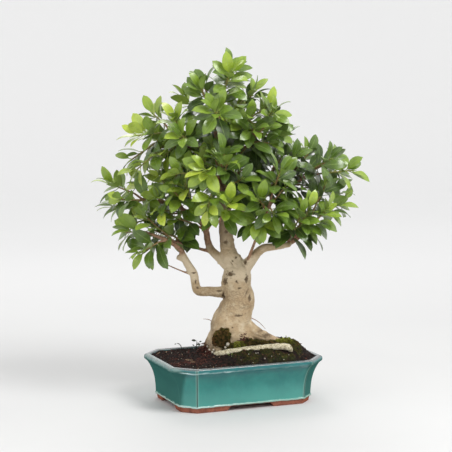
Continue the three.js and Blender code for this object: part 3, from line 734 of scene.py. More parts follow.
def make_screen(name, x):
    """A sheet pierced by rows of square holes."""
    steps = round(SCREEN_SIZE / SCREEN_PITCH)
    lines = [-SCREEN_SIZE / 2]
    for i in range(steps):
        start = -SCREEN_SIZE / 2 + i * SCREEN_PITCH
        lines += [start + SCREEN_BAR / 2, start + SCREEN_PITCH - SCREEN_BAR / 2]
    lines.append(SCREEN_SIZE / 2)
    cells = len(lines) - 1
    solid = np.array([[not (i % 2 and j % 2) for j in range(cells)] for i in range(cells)])
    grid_x, grid_y = np.meshgrid(lines, lines, indexing="ij")
    flat = np.stack([grid_x + x, grid_y], 2).reshape(-1, 2)
    bottom = ring_at(flat, SCREEN_Z)
    points = np.concatenate([bottom, bottom + [0, 0, SCREEN_THICKNESS]])
    over = len(flat)
    quads = []
    for i in range(cells):
        for j in range(cells):
            if not solid[i, j]:
                continue
            a, b = i * (cells + 1) + j, (i + 1) * (cells + 1) + j
            quads += [[a, a + 1, b + 1, b], [a + over, b + over, b + 1 + over, a + 1 + over]]
            walls = [
                (i, j - 1, a, b), (i + 1, j, b, b + 1),
                (i, j + 1, b + 1, a + 1), (i - 1, j, a + 1, a),
            ]
            for near_i, near_j, p, q in walls:
                outside = not (0 <= near_i < cells and 0 <= near_j < cells)
                if outside or not solid[near_i, near_j]:
                    quads.append([p, q, q + over, p + over])
    quads = np.array(quads)
    build = Build()
    build.add(points, np.concatenate([quads[:, [0, 1, 2]], quads[:, [0, 2, 3]]]))
    return piece(f"{name}_fine", build, [plastic_material()], [name], sharp=30)


# The soil, banked up round the foot of the tree

CLEARANCE = 0.4
SOIL_EDGE = 87
SOIL_FLOOR = SCREEN_Z + SCREEN_THICKNESS + 0.7
BANK_CENTRE = (34, -4)
BANK_HALF_LENGTH = 117
BANK_HALF_DEPTH = 83
BANK_HEIGHT = 23
BANK_RISE = 0.08
SOIL_AROUND = 480  # points round the soil's edge
SOIL_RINGS = 88
SOIL_MIDDLE = 0.06  # the innermost ring's share of the edge's size

ROOTS = {
    "right": [
        [10, -4, 160, 19], [38, -8, 137, 15.5], [66, -12, 125, 10.5], [86, -14, 119, 7.5],
        [107, -16, 113, 5.5], [124, -20, 98, 4],
    ],
    "left": [[-14, 2, 150, 22], [-34, 5, 122, 18], [-48, 9, 100, 12], [-60, 14, 80, 8]],
    "back": [[0, 8, 145, 20], [6, 38, 119, 17], [20, 62, 102, 11], [34, 84, 84, 7]],
    "back_left": [[-12, 6, 140, 16], [-34, 34, 112, 14], [-50, 56, 94, 9], [-62, 74, 80, 6]],
    "front": [[-8, -6, 142, 17], [-20, -28, 112, 14], [-28, -40, 99, 10], [-36, -48, 84, 7]],
    "surface": [
        [-20, -34, 98, 9], [-31, -50, 98.5, 7.4], [-20, -58, 103, 6.8], [0, -60, 107, 6.4],
        [24, -61, 110.5, 6.6], [50, -60, 113.5, 6.2], [76, -58, 116, 6.4], [97, -58, 116.6, 6.3],
        [109, -55, 114, 6], [112, -45, 105, 5],
    ],
}
SURFACE_ROOT = np.array(ROOTS["surface"])[2:-1, :3]


def ground_height(points):
    """Height of the soil at points of the pot's frame, before moss and crumbs."""
    t = in_tree(level(points))
    x, y = points[:, 0], points[:, 1]
    reach = np.hypot(
        (t[:, 0] - BANK_CENTRE[0]) / BANK_HALF_LENGTH, (t[:, 1] - BANK_CENTRE[1]) / BANK_HALF_DEPTH
    )
    bank = (BANK_HEIGHT + BANK_RISE * t[:, 0]) * (1 - smoothstep(0.66, 1.14, reach))
    unevenness = 0.9 * np.sin(x * 0.16 + y * 0.05) * np.sin(y * 0.19 - x * 0.04)
    return SOIL_EDGE + bank + unevenness


def moss_cover(t):
    """How mossy the soil is, from 0 to 1, at points of the tree's frame: behind the pale surface
    root, below it in front, and on the right end of the bank."""
    x, y = t[:, 0], t[:, 1]
    beside = y - np.interp(x, SURFACE_ROOT[:, 0], SURFACE_ROOT[:, 1])
    behind = plateau(2, 7, 34, 50, beside) * plateau(-34, -20, 112, 126, x)
    front = 0.8 * plateau(2, 6, 18, 34, -beside) * plateau(-12, 14, 112, 128, x)
    right = 1 - smoothstep(0.6, 1.1, np.hypot((x - 116) / 22, (y + 24) / 40))
    cover = np.max([behind, front, right], axis=0)
    return cover * smoothstep(-0.35, 0.15, roughness_at(level(t), 15, 2))


def ground_at(points, cover):
    """Height of the finished ground: soil, with low cushions where there is moss."""
    flat = level(points)
    lumps = 1.1 * roughness_at(flat, 6, 3) + 0.5 * roughness_at(flat, 2.2)
    cushions = cover * (2.2 + 1.8 * roughness_at(flat + 40, 9, 2))
    return ground_height(points) + lumps + cushions


def on_ground(points):
    """Points brought to the height of the finished ground."""
    return np.column_stack([points[:, :2], ground_at(points, moss_cover(in_tree(points)))])


def resampled(ring, count):
    """That many points spread evenly along a closed ring."""
    closed = np.concatenate([ring, ring[:1]])
    way = np.concatenate([[0], np.cumsum(np.linalg.norm(np.diff(closed, axis=0), axis=1))])
    places = np.linspace(0, way[-1], count + 1)[:-1]
    return np.column_stack([np.interp(places, way, closed[:, k]) for k in range(3)])


def make_soil():
    walls = [[inset + CLEARANCE, z] for inset, z in reversed(WALL_INSIDE[1:]) if z > SOIL_FLOOR]
    walls = [[WALL_INSIDE[-1][0] + CLEARANCE, SOIL_FLOOR], *walls[:-1]]
    rim_inset = WALL_INSIDE[1][0] + CLEARANCE
    rings = [resampled(octagon(inset, z), SOIL_AROUND) for inset, z in walls]
    edge = resampled(octagon(rim_inset, SOIL_EDGE), SOIL_AROUND)
    rings.append(edge - [0, 0, 5])
    for share in np.linspace(1, SOIL_MIDDLE, SOIL_RINGS):
        rings.append(edge * [share, share, 1])
    points, faces = skin(rings, [0, 0, SOIL_FLOOR], [0, 0, SOIL_EDGE])
    top = np.arange(len(rings) * SOIL_AROUND) >= (len(rings) - SOIL_RINGS) * SOIL_AROUND
    top = np.append(top, [False, True])
    cover = np.zeros(len(points))
    cover[top] = moss_cover(in_tree(points[top]))
    points[top, 2] = ground_at(points[top], cover[top])
    build = Build()
    red = smoothstep(0.1, 0.6, roughness_at(points, 7, 2))
    red = red * (0.15 + 0.45 * np.minimum(chip_share(in_tree(points)), 1))
    build.add(points, faces, looks_of(len(points), red, cover))
    return piece("soil_bank", build, [soil_material()], ["soil"], sharp=80)


def inside_pot(points, inset):
    """Which points lie inside the octagon at that inset."""
    return np.min(side_distances(*np.abs(points[:, :2]).T), axis=0) > inset


def ball():
    """The 12 points and 20 faces of an icosahedron of radius 1."""
    g = (1 + math.sqrt(5)) / 2
    points = np.array([
        [-1, g, 0], [1, g, 0], [-1, -g, 0], [1, -g, 0], [0, -1, g], [0, 1, g],
        [0, -1, -g], [0, 1, -g], [g, 0, -1], [g, 0, 1], [-g, 0, -1], [-g, 0, 1],
    ]) / math.hypot(1, g)
    faces = np.array([
        [0, 11, 5], [0, 5, 1], [0, 1, 7], [0, 7, 10], [0, 10, 11], [1, 5, 9], [5, 11, 4],
        [11, 10, 2], [10, 7, 6], [7, 1, 8], [3, 9, 4], [3, 4, 2], [3, 2, 6], [3, 6, 8],
        [3, 8, 9], [4, 9, 5], [2, 4, 11], [6, 2, 10], [8, 6, 7], [9, 8, 1],
    ])
    return points, faces


def turns(rng, count, tilt=math.pi):
    """Random turns, as matrices: about the upright by any angle, and a tilt up to that much."""
    spin, way = rng.uniform(0, 2 * math.pi, (2, count))
    lean = rng.uniform(0, tilt, count)
    made = np.zeros((count, 3, 3))
    for i in range(count):
        c, s = math.cos(spin[i]), math.sin(spin[i])
        flat = np.array([[c, s, 0], [-s, c, 0], [0, 0, 1.0]])
        axis = np.array([math.cos(way[i]), math.sin(way[i]), 0])
        cross = np.cross(np.eye(3), axis)
        tipped = np.eye(3) + math.sin(lean[i]) * cross + (1 - math.cos(lean[i])) * cross @ cross
        made[i] = flat @ tipped
    return made


def scatter(build, rng, places, sizes, looks, uneven=0.25, tilt=math.pi):
    """Adds one angular lump of each size [x, y, z] at each place."""
    shape, faces = ball()
    count = len(places)
    lumps = shape[None] * (1 + rng.uniform(-uneven, uneven, (count, len(shape), 1)))
    lumps = np.einsum("npi,nij->npj", lumps * sizes[:, None], turns(rng, count, tilt))
    build.add_copies(lumps + places[:, None], faces, looks)


def soil_places(rng, count, inset, wanted):
    """Random places on the soil inside that inset, kept with the chance that wanted gives."""
    half = np.array([POT_LENGTH / 2, POT_DEPTH / 2])
    flat = ring_at(rng.uniform(-half, half, (count * 6, 2)), 0)
    flat = flat[inside_pot(flat, inset)]
    kept = rng.uniform(0, 1, len(flat)) < wanted(in_tree(flat))
    return on_ground(flat[kept][:count])


# Where red chips of bark lie thick on the soil: [x, y, half length, half depth, share] in the
# tree's frame
CHIP_BEDS = [
    [-72, -66, 36, 20, 1], [-112, -90, 16, 14, 0.8], [-52, -44, 14, 12, 1], [60, 62, 50, 24, 0.4],
]
# Heaps of chips against the trunk's foot: [centre, half size, count] in the tree's frame
CHIP_HEAPS = [
    [[-56, -24, 103], [9, 8, 11], 150], [[-47, -40, 98], [11, 8, 7], 120],
    [[-63, -10, 97], [9, 10, 8], 70], [[20, -51, 127], [8, 3, 11], 74],
]
CHIP_SIZE = [3.8, 1.0, 0.7]
STRAW_SIZE = [6.0, 0.5, 0.5]


def chip_share(t):
    share = np.full(len(t), 0.07)
    for x, y, half_length, half_depth, most in CHIP_BEDS:
        off = ((t[:, 0] - x) / half_length) ** 2 + ((t[:, 1] - y) / half_depth) ** 2
        share = np.maximum(share, most * np.exp(-off))
    return share


def make_crumbs():
    """Lumps of peat, chips of red bark and bits of straw that lie on the soil."""
    rng = np.random.default_rng(11)
    build = Build()
    crumbs = soil_places(rng, 2500, 15, lambda t: 1 - 0.85 * moss_cover(t))
    sizes = rng.uniform(0.5, 1.8, (len(crumbs), 1)) * rng.uniform(0.7, 1.2, (len(crumbs), 3))
    red = rng.uniform(0, 0.5, len(crumbs)) ** 2 + 0.35 * chip_share(in_tree(crumbs))
    scatter(build, rng, crumbs, sizes, looks_of(len(crumbs), red))
    chips = soil_places(rng, 560, 16, chip_share)
    for centre, half, count in CHIP_HEAPS:
        heap = centre + rng.normal(0, 0.5, (count, 3)) * half
        chips = np.concatenate([chips, turned(heap, TREE_TURN)])
    sizes = rng.uniform(0.6, 1.3, (len(chips), 1)) * CHIP_SIZE
    looks = looks_of(len(chips), rng.uniform(0.35, 1, len(chips)))
    scatter(build, rng, chips + [0, 0, 0.5], sizes, looks, 0.2, 0.7)
    straws = soil_places(rng, 44, 18, chip_share)
    sizes = rng.uniform(0.6, 1.2, (len(straws), 1)) * STRAW_SIZE
    scatter(build, rng, straws + [0, 0, 1.4], sizes, looks_of(len(straws), 0.5, 0, 1), 0.1, 0.3)
    return piece("soil_crumbs", build, [soil_material()], sharp=25)


WHITE_GRAINS = [  # [x, y, size] in the tree's frame, the ones that stand out
    [61, -81, 1.9], [75, -74, 1.5], [90, -68, 1.3], [44, -72, 1.7], [48, -71, 1.3],
    [30, -74, 1.2], [98, -74, 1.2], [16, -84, 1.2],
]


def make_grains():
    """White grains in the soil."""
    rng = np.random.default_rng(12)
    places = soil_places(rng, 60, 17, lambda t: np.full(len(t), 0.5))
    sizes = rng.uniform(0.5, 1.1, (len(places), 1)) * rng.uniform(0.8, 1.2, (len(places), 3))
    chosen = np.array([[x, y, 0.0] for x, y, _ in WHITE_GRAINS])
    big = np.array([[size, size * 0.9, size * 0.7] for _, _, size in WHITE_GRAINS])
    build = Build()
    places = np.concatenate([places, on_ground(turned(chosen, TREE_TURN))])
    scatter(build, rng, places, np.concatenate([sizes, big]), looks_of(len(places)), 0.15)
    return piece("white_grains", build, [grain_material()], sharp=30)


PEBBLES = [  # [x, y, z, radius]
    [-10, -51, 119, 4.4], [-15, -54, 114, 2.4], [-40, -47, 103, 3.0], [-46, -40, 106, 2.3],
    [-50, -34, 112, 2.0], [-38, -48, 108, 2.2], [-53, -32, 101, 1.8], [-43, -44, 98, 1.8],
]


def make_pebbles():
    """Pale pebbles between the moss and the root."""
    shape, faces = globe(9, 14, 0.42)
    build = Build()
    for x, y, z, radius in PEBBLES:
        lumpy = shape * (1 + 0.25 * roughness_at(shape + x, 1.1, 2))[:, None]
        build.add(lumpy * [0.9 * radius, 0.8 * radius, radius] + [x, y, z], faces)
    return piece("pale_pebbles", build, [grain_material()], turn=TREE_TURN)


# Moss

def spikes(build, rng, places, ways, heights, widths, looks):
    """Adds a small three-sided spike at each place, pointing its way."""
    count = len(places)
    ways = ways / np.linalg.norm(ways, axis=1, keepdims=True)
    side = np.cross(ways, np.where(np.abs(ways[:, 2:]) > 0.8, [[1.0, 0, 0]], [[0, 0, 1.0]]))
    side /= np.linalg.norm(side, axis=1, keepdims=True)
    over = np.cross(ways, side)
    spin = rng.uniform(0, 2 * math.pi, count)
    points = np.zeros((count, 4, 3))
    for k in range(3):
        angle = (spin + 2 * math.pi * k / 3)[:, None]
        points[:, k] = places + widths[:, None] * (side * np.cos(angle) + over * np.sin(angle))
    points[:, :3] -= 0.6 * ways[:, None] * widths[:, None, None]
    points[:, 3] = places + ways * heights[:, None]
    build.add_copies(points, np.array([[0, 1, 3], [1, 2, 3], [2, 0, 3], [2, 1, 0]]), looks)


def make_moss_bank():
    rng = np.random.default_rng(13)
    places = soil_places(rng, 15000, 14, moss_cover)
    t = in_tree(places)
    count = len(places)
    ways = rng.uniform(-0.7, 0.7, places.shape)
    ways[:, 2] = 1
    heights, widths = rng.uniform(1.0, 2.6, count), rng.uniform(0.35, 0.7, count)
    fresh = 0.30 + 0.22 * roughness_at(t, 8, 2) + rng.uniform(-0.15, 0.15, count)
    right_end = np.hypot((t[:, 0] - 108) / 20, (t[:, 1] + 14) / 22)
    fresh += 0.35 * (1 - smoothstep(0.3, 1.0, right_end))
    fresh -= 0.15 * smoothstep(0, 8, -62 - t[:, 1])
    brown = rng.uniform(-0.4, 0.7, count)
    looks = looks_of(count, np.clip(fresh, 0, 1), np.clip(brown, 0, 1))
    build = Build()
    spikes(build, rng, places, ways, heights, widths, looks)
    return piece("moss_bank", build, [moss_material()], sharp=30)


# Cushions of moss against the trunk's foot and on the bank, in the tree's frame:
# [centre, half size, spikes, fresh, brown]
CUSHIONS = [
    [[-20, -41, 133], [15.5, 9, 15.5], 3600, 0.3, 0.6],
    [[-19, -45, 122], [13, 8, 9], 1500, 0.16, 0.4],
    [[-33, -40, 124], [7, 5, 11], 800, 0.2, 0.95],
    [[-2, -51, 114], [9, 6, 7], 700, 0.25, 0.3],
    [[9, -52, 117], [8, 6, 7], 800, 0.72, 0.1],
    [[19, -51, 118], [8, 6, 7], 700, 0.5, 0.3],
    [[30, -49, 121], [9, 6, 9], 900, 0.14, 0.2],
    [[43, -44, 121], [9, 8, 6], 800, 0.10, 0.15],
    [[58, -38, 119], [10, 8, 4.5], 700, 0.16, 0.3],
    [[76, -34, 119], [11, 8, 4.5], 700, 0.22, 0.5],
    [[96, -30, 119.5], [12, 9, 6], 1000, 0.66, 0.1],
    [[108, -26, 118], [9, 9, 6], 800, 0.5, 0.2],
]


def lumpy_cushion(shape, number):
    return shape * (1 + 0.3 * roughness_at(shape + number, 0.55, 2))[:, None]


def make_cushions():
    build = Build()
    core, faces = globe(13, 20, 0.44)
    for number, (centre, half, count, fresh, brown) in enumerate(CUSHIONS):
        rng = np.random.default_rng(40 + number)
        heights = 1 - 2 * (np.arange(count) + 0.5) / count
        angles = GOLDEN_ANGLE * np.arange(count)
        flat = np.sqrt(1 - heights**2)
        even = np.stack([flat * np.cos(angles), flat * np.sin(angles), heights], 1)
        places = centre + lumpy_cushion(even, number) * half
        ways = even / half + rng.uniform(-0.05, 0.05, places.shape)
        tone = fresh + 0.1 * heights + 0.3 * roughness_at(places, 5, 2)
        tone += rng.uniform(-0.16, 0.26, count)
        dry = brown + rng.uniform(-0.5, 0.4, count)
        looks = looks_of(count, np.clip(tone, 0, 1), np.clip(dry, 0, 1))
        long, wide = rng.uniform(1, 3.4, count), rng.uniform(0.35, 0.75, count)
        spikes(build, rng, places, ways, long, wide, looks)
        points = centre + lumpy_cushion(core, number) * half
        build.add(points, faces, (0.5 * fresh, 0.5 * brown + 0.2, 0, 0))
    return piece("moss_cushions", build, [moss_material()], turn=TREE_TURN, sharp=40)


# The tree: trunk, roots and limbs, each a smooth line of stations [x, y, z, radius] in its frame

CROWN_CORE = np.array([-10, 5, 410])
SHOOT_RADIUS = 1.8
SHOOT_TIP_RADIUS = 1.4
BRANCHLET_RADIUS = 2.6

TRUNK = [
    [-4, 2, 62, 50], [-4, 1, 88, 54], [-4, 0, 108, 49], [-4, 0, 128, 45], [-4, 0, 150, 40.5],
    [3, 0, 171, 36], [10, 0, 190, 32.5], [12, 0, 203, 32], [8, 0, 219, 29], [6, 0, 234, 27.5],
    [9, 0, 248, 26.5], [12, 0, 262, 22], [10, 2, 276, 12],
]


def trunk_swell(angles, t):
    low = 1 - smoothstep(0.15, 0.55, t)
    flute = 0.09 * np.cos(3 * angles + 0.6) + 0.05 * np.cos(5 * angles - 1.1)
    waist = 0.035 * np.sin(2 * angles + 9 * t)
    return 1 + low * flute + waist


LIMBS = {
    "low_left": [
        [14, 0, 212, 12], [-16, -2, 214, 11.5], [-46, -8, 217, 9.6], [-68, -12, 219, 9.4],
        [-74, -14, 235, 8.6], [-77, -17, 253, 8.2], [-88, -22, 272, 8], [-97, -28, 290, 7],
        [-103, -36, 304, 5], [-128, -42, 322, 4], [-158, -42, 334, 3],
    ],
    "low_left_shoot": [[-77, -17, 250, 2.4], [-104, -22, 261, 1.9], [-130, -28, 273, 1.6]],
    "mid_left": [
        [16, 4, 248, 15], [-6, 8, 262, 11], [-28, 14, 282, 9], [-43, 18, 296, 8.2],
        [-50, 20, 314, 7], [-53, 20, 332, 6.2], [-64, 16, 352, 5.2], [-92, 8, 374, 4.4],
        [-136, -2, 392, 3.8], [-176, -8, 398, 3],
    ],
    "mid_left_side": [[-40, 17, 292, 4], [-62, 12, 298, 3.4], [-90, 2, 308, 3], [-120, -8, 318, 2.6]],
    "mid_front": [[-53, 19, 334, 5], [-44, -8, 350, 3.8], [-26, -42, 358, 3]],
    "leader": [
        [11, 2, 258, 22], [-4, 6, 280, 17], [-10, 8, 298, 15], [-14, 8, 336, 13],
        [-16, 4, 388, 11], [-18, 0, 438, 9.4], [-27, -2, 504, 7], [-34, -1, 548, 5],
        [-22, 0, 584, 3.4],
    ],
    "right": [
        [14, -2, 250, 15], [36, -8, 279, 11], [49, -12, 295, 9.2], [62, -16, 304, 8],
        [85, -20, 307, 6.4], [104, -22, 311, 5.4], [128, -26, 326, 4.2], [152, -28, 350, 3.2],
    ],
    "right_shoot": [
        [24, -8, 266, 3.6], [34, -22, 294, 3.2], [45, -42, 326, 2.9], [62, -62, 372, 2.8],
        [70, -70, 398, 2.6],
    ],
    "back_right": [[-14, 8, 344, 9], [22, 24, 380, 7], [82, 38, 412, 5.4], [146, 30, 438, 3.4]],
    "back": [[-15, 6, 366, 8], [0, 44, 404, 6], [12, 92, 444, 3.4]],
    "back_left": [[-17, 3, 408, 7], [-52, 42, 432, 5.2], [-104, 76, 448, 3.2]],
    "front": [[-17, 2, 398, 7], [-24, -38, 424, 5.4], [-38, -76, 450, 3.2]],
    "high_left": [[-19, 0, 446, 7], [-66, 4, 496, 5], [-122, 2, 530, 3.2]],
    "high_right": [[-23, -1, 472, 6], [20, -4, 508, 4.6], [58, -4, 540, 3]],
    "high_front": [[-28, -2, 508, 4.4], [-26, -34, 530, 3.6], [-24, -60, 548, 2.8]],
    "high_back": [[-26, -2, 500, 4.4], [-20, 36, 524, 3.6], [-10, 66, 544, 2.8]],
    "far_back": [[30, 25, 384, 5], [66, 62, 424, 4], [86, 86, 462, 3]],
    "low_left_stub": [[-95, -27, 283, 6.4], [-109, -31, 288, 4.8]],
    "right_stub": [[98, -22, 310, 5.8], [111, -30, 312, 4.8]],
}
LIMB_LINES = {name: Line(stations) for name, stations in LIMBS.items()}

# Where the bark turns from that of the trunk to a twig's: shares of a limb's length
YOUNG_FROM = {
    "low_left": (0.68, 0.80), "mid_left": (0.33, 0.45), "right": (0.6, 0.7), "leader": (0.35, 0.8),
    "low_left_stub": (1.1, 1.2), "right_stub": (1.1, 1.2),
}

# Knots, scars and dents of the bark in front: [x, z, half width, half height, depth]
FRONT_MARKS = [
    [12, 173, 9, 2.2, 1.6], [7, 239, 3.2, 3.6, 1.4], [12, 226, 3, 2.5, 1], [27, 243, 4, 8.5, 1.8],
    [-5, 253, 8, 5, 1.4], [-15, 238, 4, 9, 1.8], [32, 206, 3, 7, 1], [-14, 314, 5.5, 4.5, 1.8],
    [-13, 335, 4, 3.5, 1.6], [-69, 226, 3, 2.6, 1], [-73, 238, 2.2, 4.5, 0.9],
    [-77, 256, 4.5, 2, 0.9], [60, 141, 8, 2.2, 1.6], [24, 275, 4, 6, 1.2], [-27, 219, 6, 2, 1.6],
    [-18, 207, 4, 3, 1.8], [-1, 278, 2, 2, 0.6], [-1, 150, 2.5, 2, 0.6], [6, 284, 2, 2, 0.6],
]
# Darker bark in front, painted shade and some lichen, an oval each: [x, z, half width, half height,
# strength]
FRONT_SHADE_AND_STAINS = [
    [-14, 208, 12, 16, 0.3], [-16, 250, 8, 12, 0.42], [34, 164, 6, 14, 0.3], [53, 140, 9, 9, 0.6],
    [66, 132, 12, 6, 0.8], [96, 112, 12, 5, 0.3], [-42, 150, 9, 26, 0.5], [-44, 114, 12, 13, 0.5],
    [-27, 184, 9, 16, 0.45], [50, 110, 12, 6, 0.42], [30, 234, 6, 14, 0.3], [-22, 95, 16, 8, 0.8],
    [20, 109, 8, 6, 0.4],
]
# Rolls, knobs and creases of the bark in front, an oval each:
# [x, z, half length, half width, turn in degrees, height]
FRONT_FORMS = [
    [-17, 237, 9, 3, 65, 2.6], [-16, 235, 6, 1.4, 65, -1.6], [-2.5, 273, 7, 1.8, -55, -2.2],
    [9, 287, 11, 4, -42, 2.4], [1, 291, 3, 3, 0, 1.8], [13, 285, 3, 2.6, 0, 2.2], [4, 297, 3, 2.4, 0, 1.5],
    [1, 317, 4, 3, 80, 2.4], [-26, 326, 5, 3, 80, -1.6], [14, 256, 12, 10, 0, 1.2],
    [28, 218, 11, 2.4, 62, -2.4], [36, 205, 15, 8, 82, 1.4], [-19, 208, 13, 2.2, 88, -3.2],
    [-12, 300, 10, 1.3, -6, -1.2], [-12, 307, 9, 1.2, 4, -0.9], [-28, 271, 2.6, 2, 0, 2.2],
    [12.5, 222.5, 3.4, 3.4, 0, 1.2], [66, 138, 6, 3, -25, 2.2], [52, 130, 12, 1.6, -20, -1.4],
    [-4, 262, 8, 5, -40, 1.2], [30, 262, 6, 3, 50, 1.2], [22, 268, 7, 1.6, -60, -1.6],
    [-14, 195, 10, 3, 20, 1.0], [8, 214, 9, 2, -12, -1.2], [-48, 222, 4, 3, 0, 1.2],
    [-70, 246, 4, 3, 70, 1.4], [-40, 296, 4, 3, 60, 1.2], [42, 290, 4, 3, 40, 1.2],
]
ROOT_BROWN = 0.5  # how far a root's bark goes from the trunk's colour to a twig's
WRINKLES = (180, 188, 208, 220)  # heights between which the trunk's bark is finely wrinkled
WRINKLE_SIZE = [5.5, 5.5, 2.6]
BACK_MARKS = 14
BARK_GRAIN = 1.55  # size of the net that the wood's surface is drawn with


class Samples:
    """Places along all the wood's lines, to find which line a point of the surface lies on."""

    def __init__(self, lines, spacing=4):
        rows = []
        for number, line in enumerate(lines.values()):
            steps = max(int(np.linalg.norm(np.diff(line.points, axis=0), axis=1).sum() / spacing), 4)
            side, way = np.array([0.6, 0.7, 0.1]), 0.0
            for s in range(steps + 1):
                t = s / steps
                along, point = line.tangent(t), line.point(t)
                side = unit(side - along * (side @ along))
                way += np.linalg.norm(point - rows[-1][:3]) if s else 0
                row = [*point, *side, *np.cross(along, side), line.radius(t), way, t, number]
                rows.append(row)
        self.rows = np.array(rows)

    def nearest(self, points):
        """The row of the place whose line each point is nearest to, by its own thickness."""
        found = np.zeros(len(points), int)
        centres, radii = self.rows[:, :3], self.rows[:, 9]
        for start in range(0, len(points), 4000):
            part = points[start : start + 4000]
            squares = (part**2).sum(1)[:, None] + (centres**2).sum(1) - 2 * part @ centres.T
            found[start : start + 4000] = np.argmin(squares / radii**2, axis=1)
        return self.rows[found]


def edges_of(faces):
    pairs = np.concatenate([faces[:, [0, 1]], faces[:, [1, 2]], faces[:, [2, 0]]])
    pairs = np.unique(np.sort(pairs, axis=1), axis=0)
    return np.concatenate([pairs, pairs[:, ::-1]])


def neighbour_means(values, edges):
    """The mean over each point's neighbours of a value or of a row of values."""
    counts = np.maximum(np.bincount(edges[:, 0], minlength=len(values)), 1)
    columns = values.reshape(len(values), -1).T
    sums = [np.bincount(edges[:, 0], column[edges[:, 1]], len(values)) for column in columns]
    return (np.stack(sums, 1) / counts[:, None]).reshape(values.shape)


def normals_of(points, faces):
    a, b, c = points[faces[:, 0]], points[faces[:, 1]], points[faces[:, 2]]
    flat = np.cross(b - a, c - a)
    sums = np.zeros_like(points)
    for k in range(3):
        for i in range(3):
            sums[:, i] += np.bincount(faces[:, k], flat[:, i], len(points))
    return sums / np.maximum(np.linalg.norm(sums, axis=1, keepdims=True), 1e-9)


def wood_surface():
    """One smooth skin round trunk, roots and limbs."""
    parts = [tube(Line(TRUNK), 56, 84, trunk_swell)]
    parts += [tube(Line(stations), 20, 6 * len(stations)) for stations in ROOTS.values()]
    for name, line in LIMB_LINES.items():
        blunt = 0.1 if name.endswith("stub") else 0.5
        parts.append(tube(line, 18, 6 * len(line.points), blunt=blunt))
    build = Build()
    for points, faces in parts:
        build.add(points, faces)
    made = mesh_object("wood", np.concatenate(build.points), np.concatenate(build.faces))
    net = made.modifiers.new("skin", "REMESH")
    net.mode = "VOXEL"
    net.voxel_size = BARK_GRAIN * MILLIMETRE
    made.modifiers.new("triangles", "TRIANGULATE")
    points, faces = mesh_arrays(with_modifiers(made).data)
    bpy.data.objects.remove(made)
    edges = edges_of(faces)
    for _ in range(3):
        points = points + 0.5 * (neighbour_means(points, edges) - points)
    return points, faces, edges


def marks_on(points, normals, marks, reach=0.05):
    """Share from 0 to 1 of the nearest mark at each point, and how deep it is there. The lower the
    reach, the further round the wood a mark goes."""
    share, depth = np.zeros(len(points)), np.zeros(len(points))
    ragged = 1 + 1.1 * roughness_at(points + 60, 3.2, 2)
    for x, z, half_width, half_height, deep in marks:
        off = ((points[:, 0] - x) / half_width) ** 2 + ((points[:, 2] - z) / half_height) ** 2
        here = np.exp(-off * np.maximum(ragged, 0.2)) * smoothstep(reach, reach + 0.3, -normals[:, 1])
        share = np.maximum(share, here)
        depth = np.maximum(depth, here * deep)
    return share, depth


def forms_on(points, normals):
    height = np.zeros(len(points))
    facing = smoothstep(0.05, 0.35, -normals[:, 1])
    for x, z, half_length, half_width, turn, rise in FRONT_FORMS:
        c, s = math.cos(math.radians(turn)), math.sin(math.radians(turn))
        aside, over = points[:, 0] - x, points[:, 2] - z
        off = ((aside * c + over * s) / half_length) ** 2 + ((over * c - aside * s) / half_width) ** 2
        height += rise * np.exp(-off)
    height += plateau(*WRINKLES, points[:, 2]) * roughness_at(points / WRINKLE_SIZE, 1.0)
    return height * facing


def back_marks(rng, count):
    """Marks like those in front, for the side that the front doesn't show."""
    marks = []
    for _ in range(count):
        z = rng.uniform(130, 320)
        line = Line(TRUNK) if z < 262 else LIMB_LINES["leader"]
        x = line.point(min(max((z - 62) / 210, 0), 1))[0] + rng.uniform(-18, 18)
        marks.append([x, z, rng.uniform(2.5, 8), rng.uniform(2, 5), rng.uniform(0.8, 1.6)])
    return marks


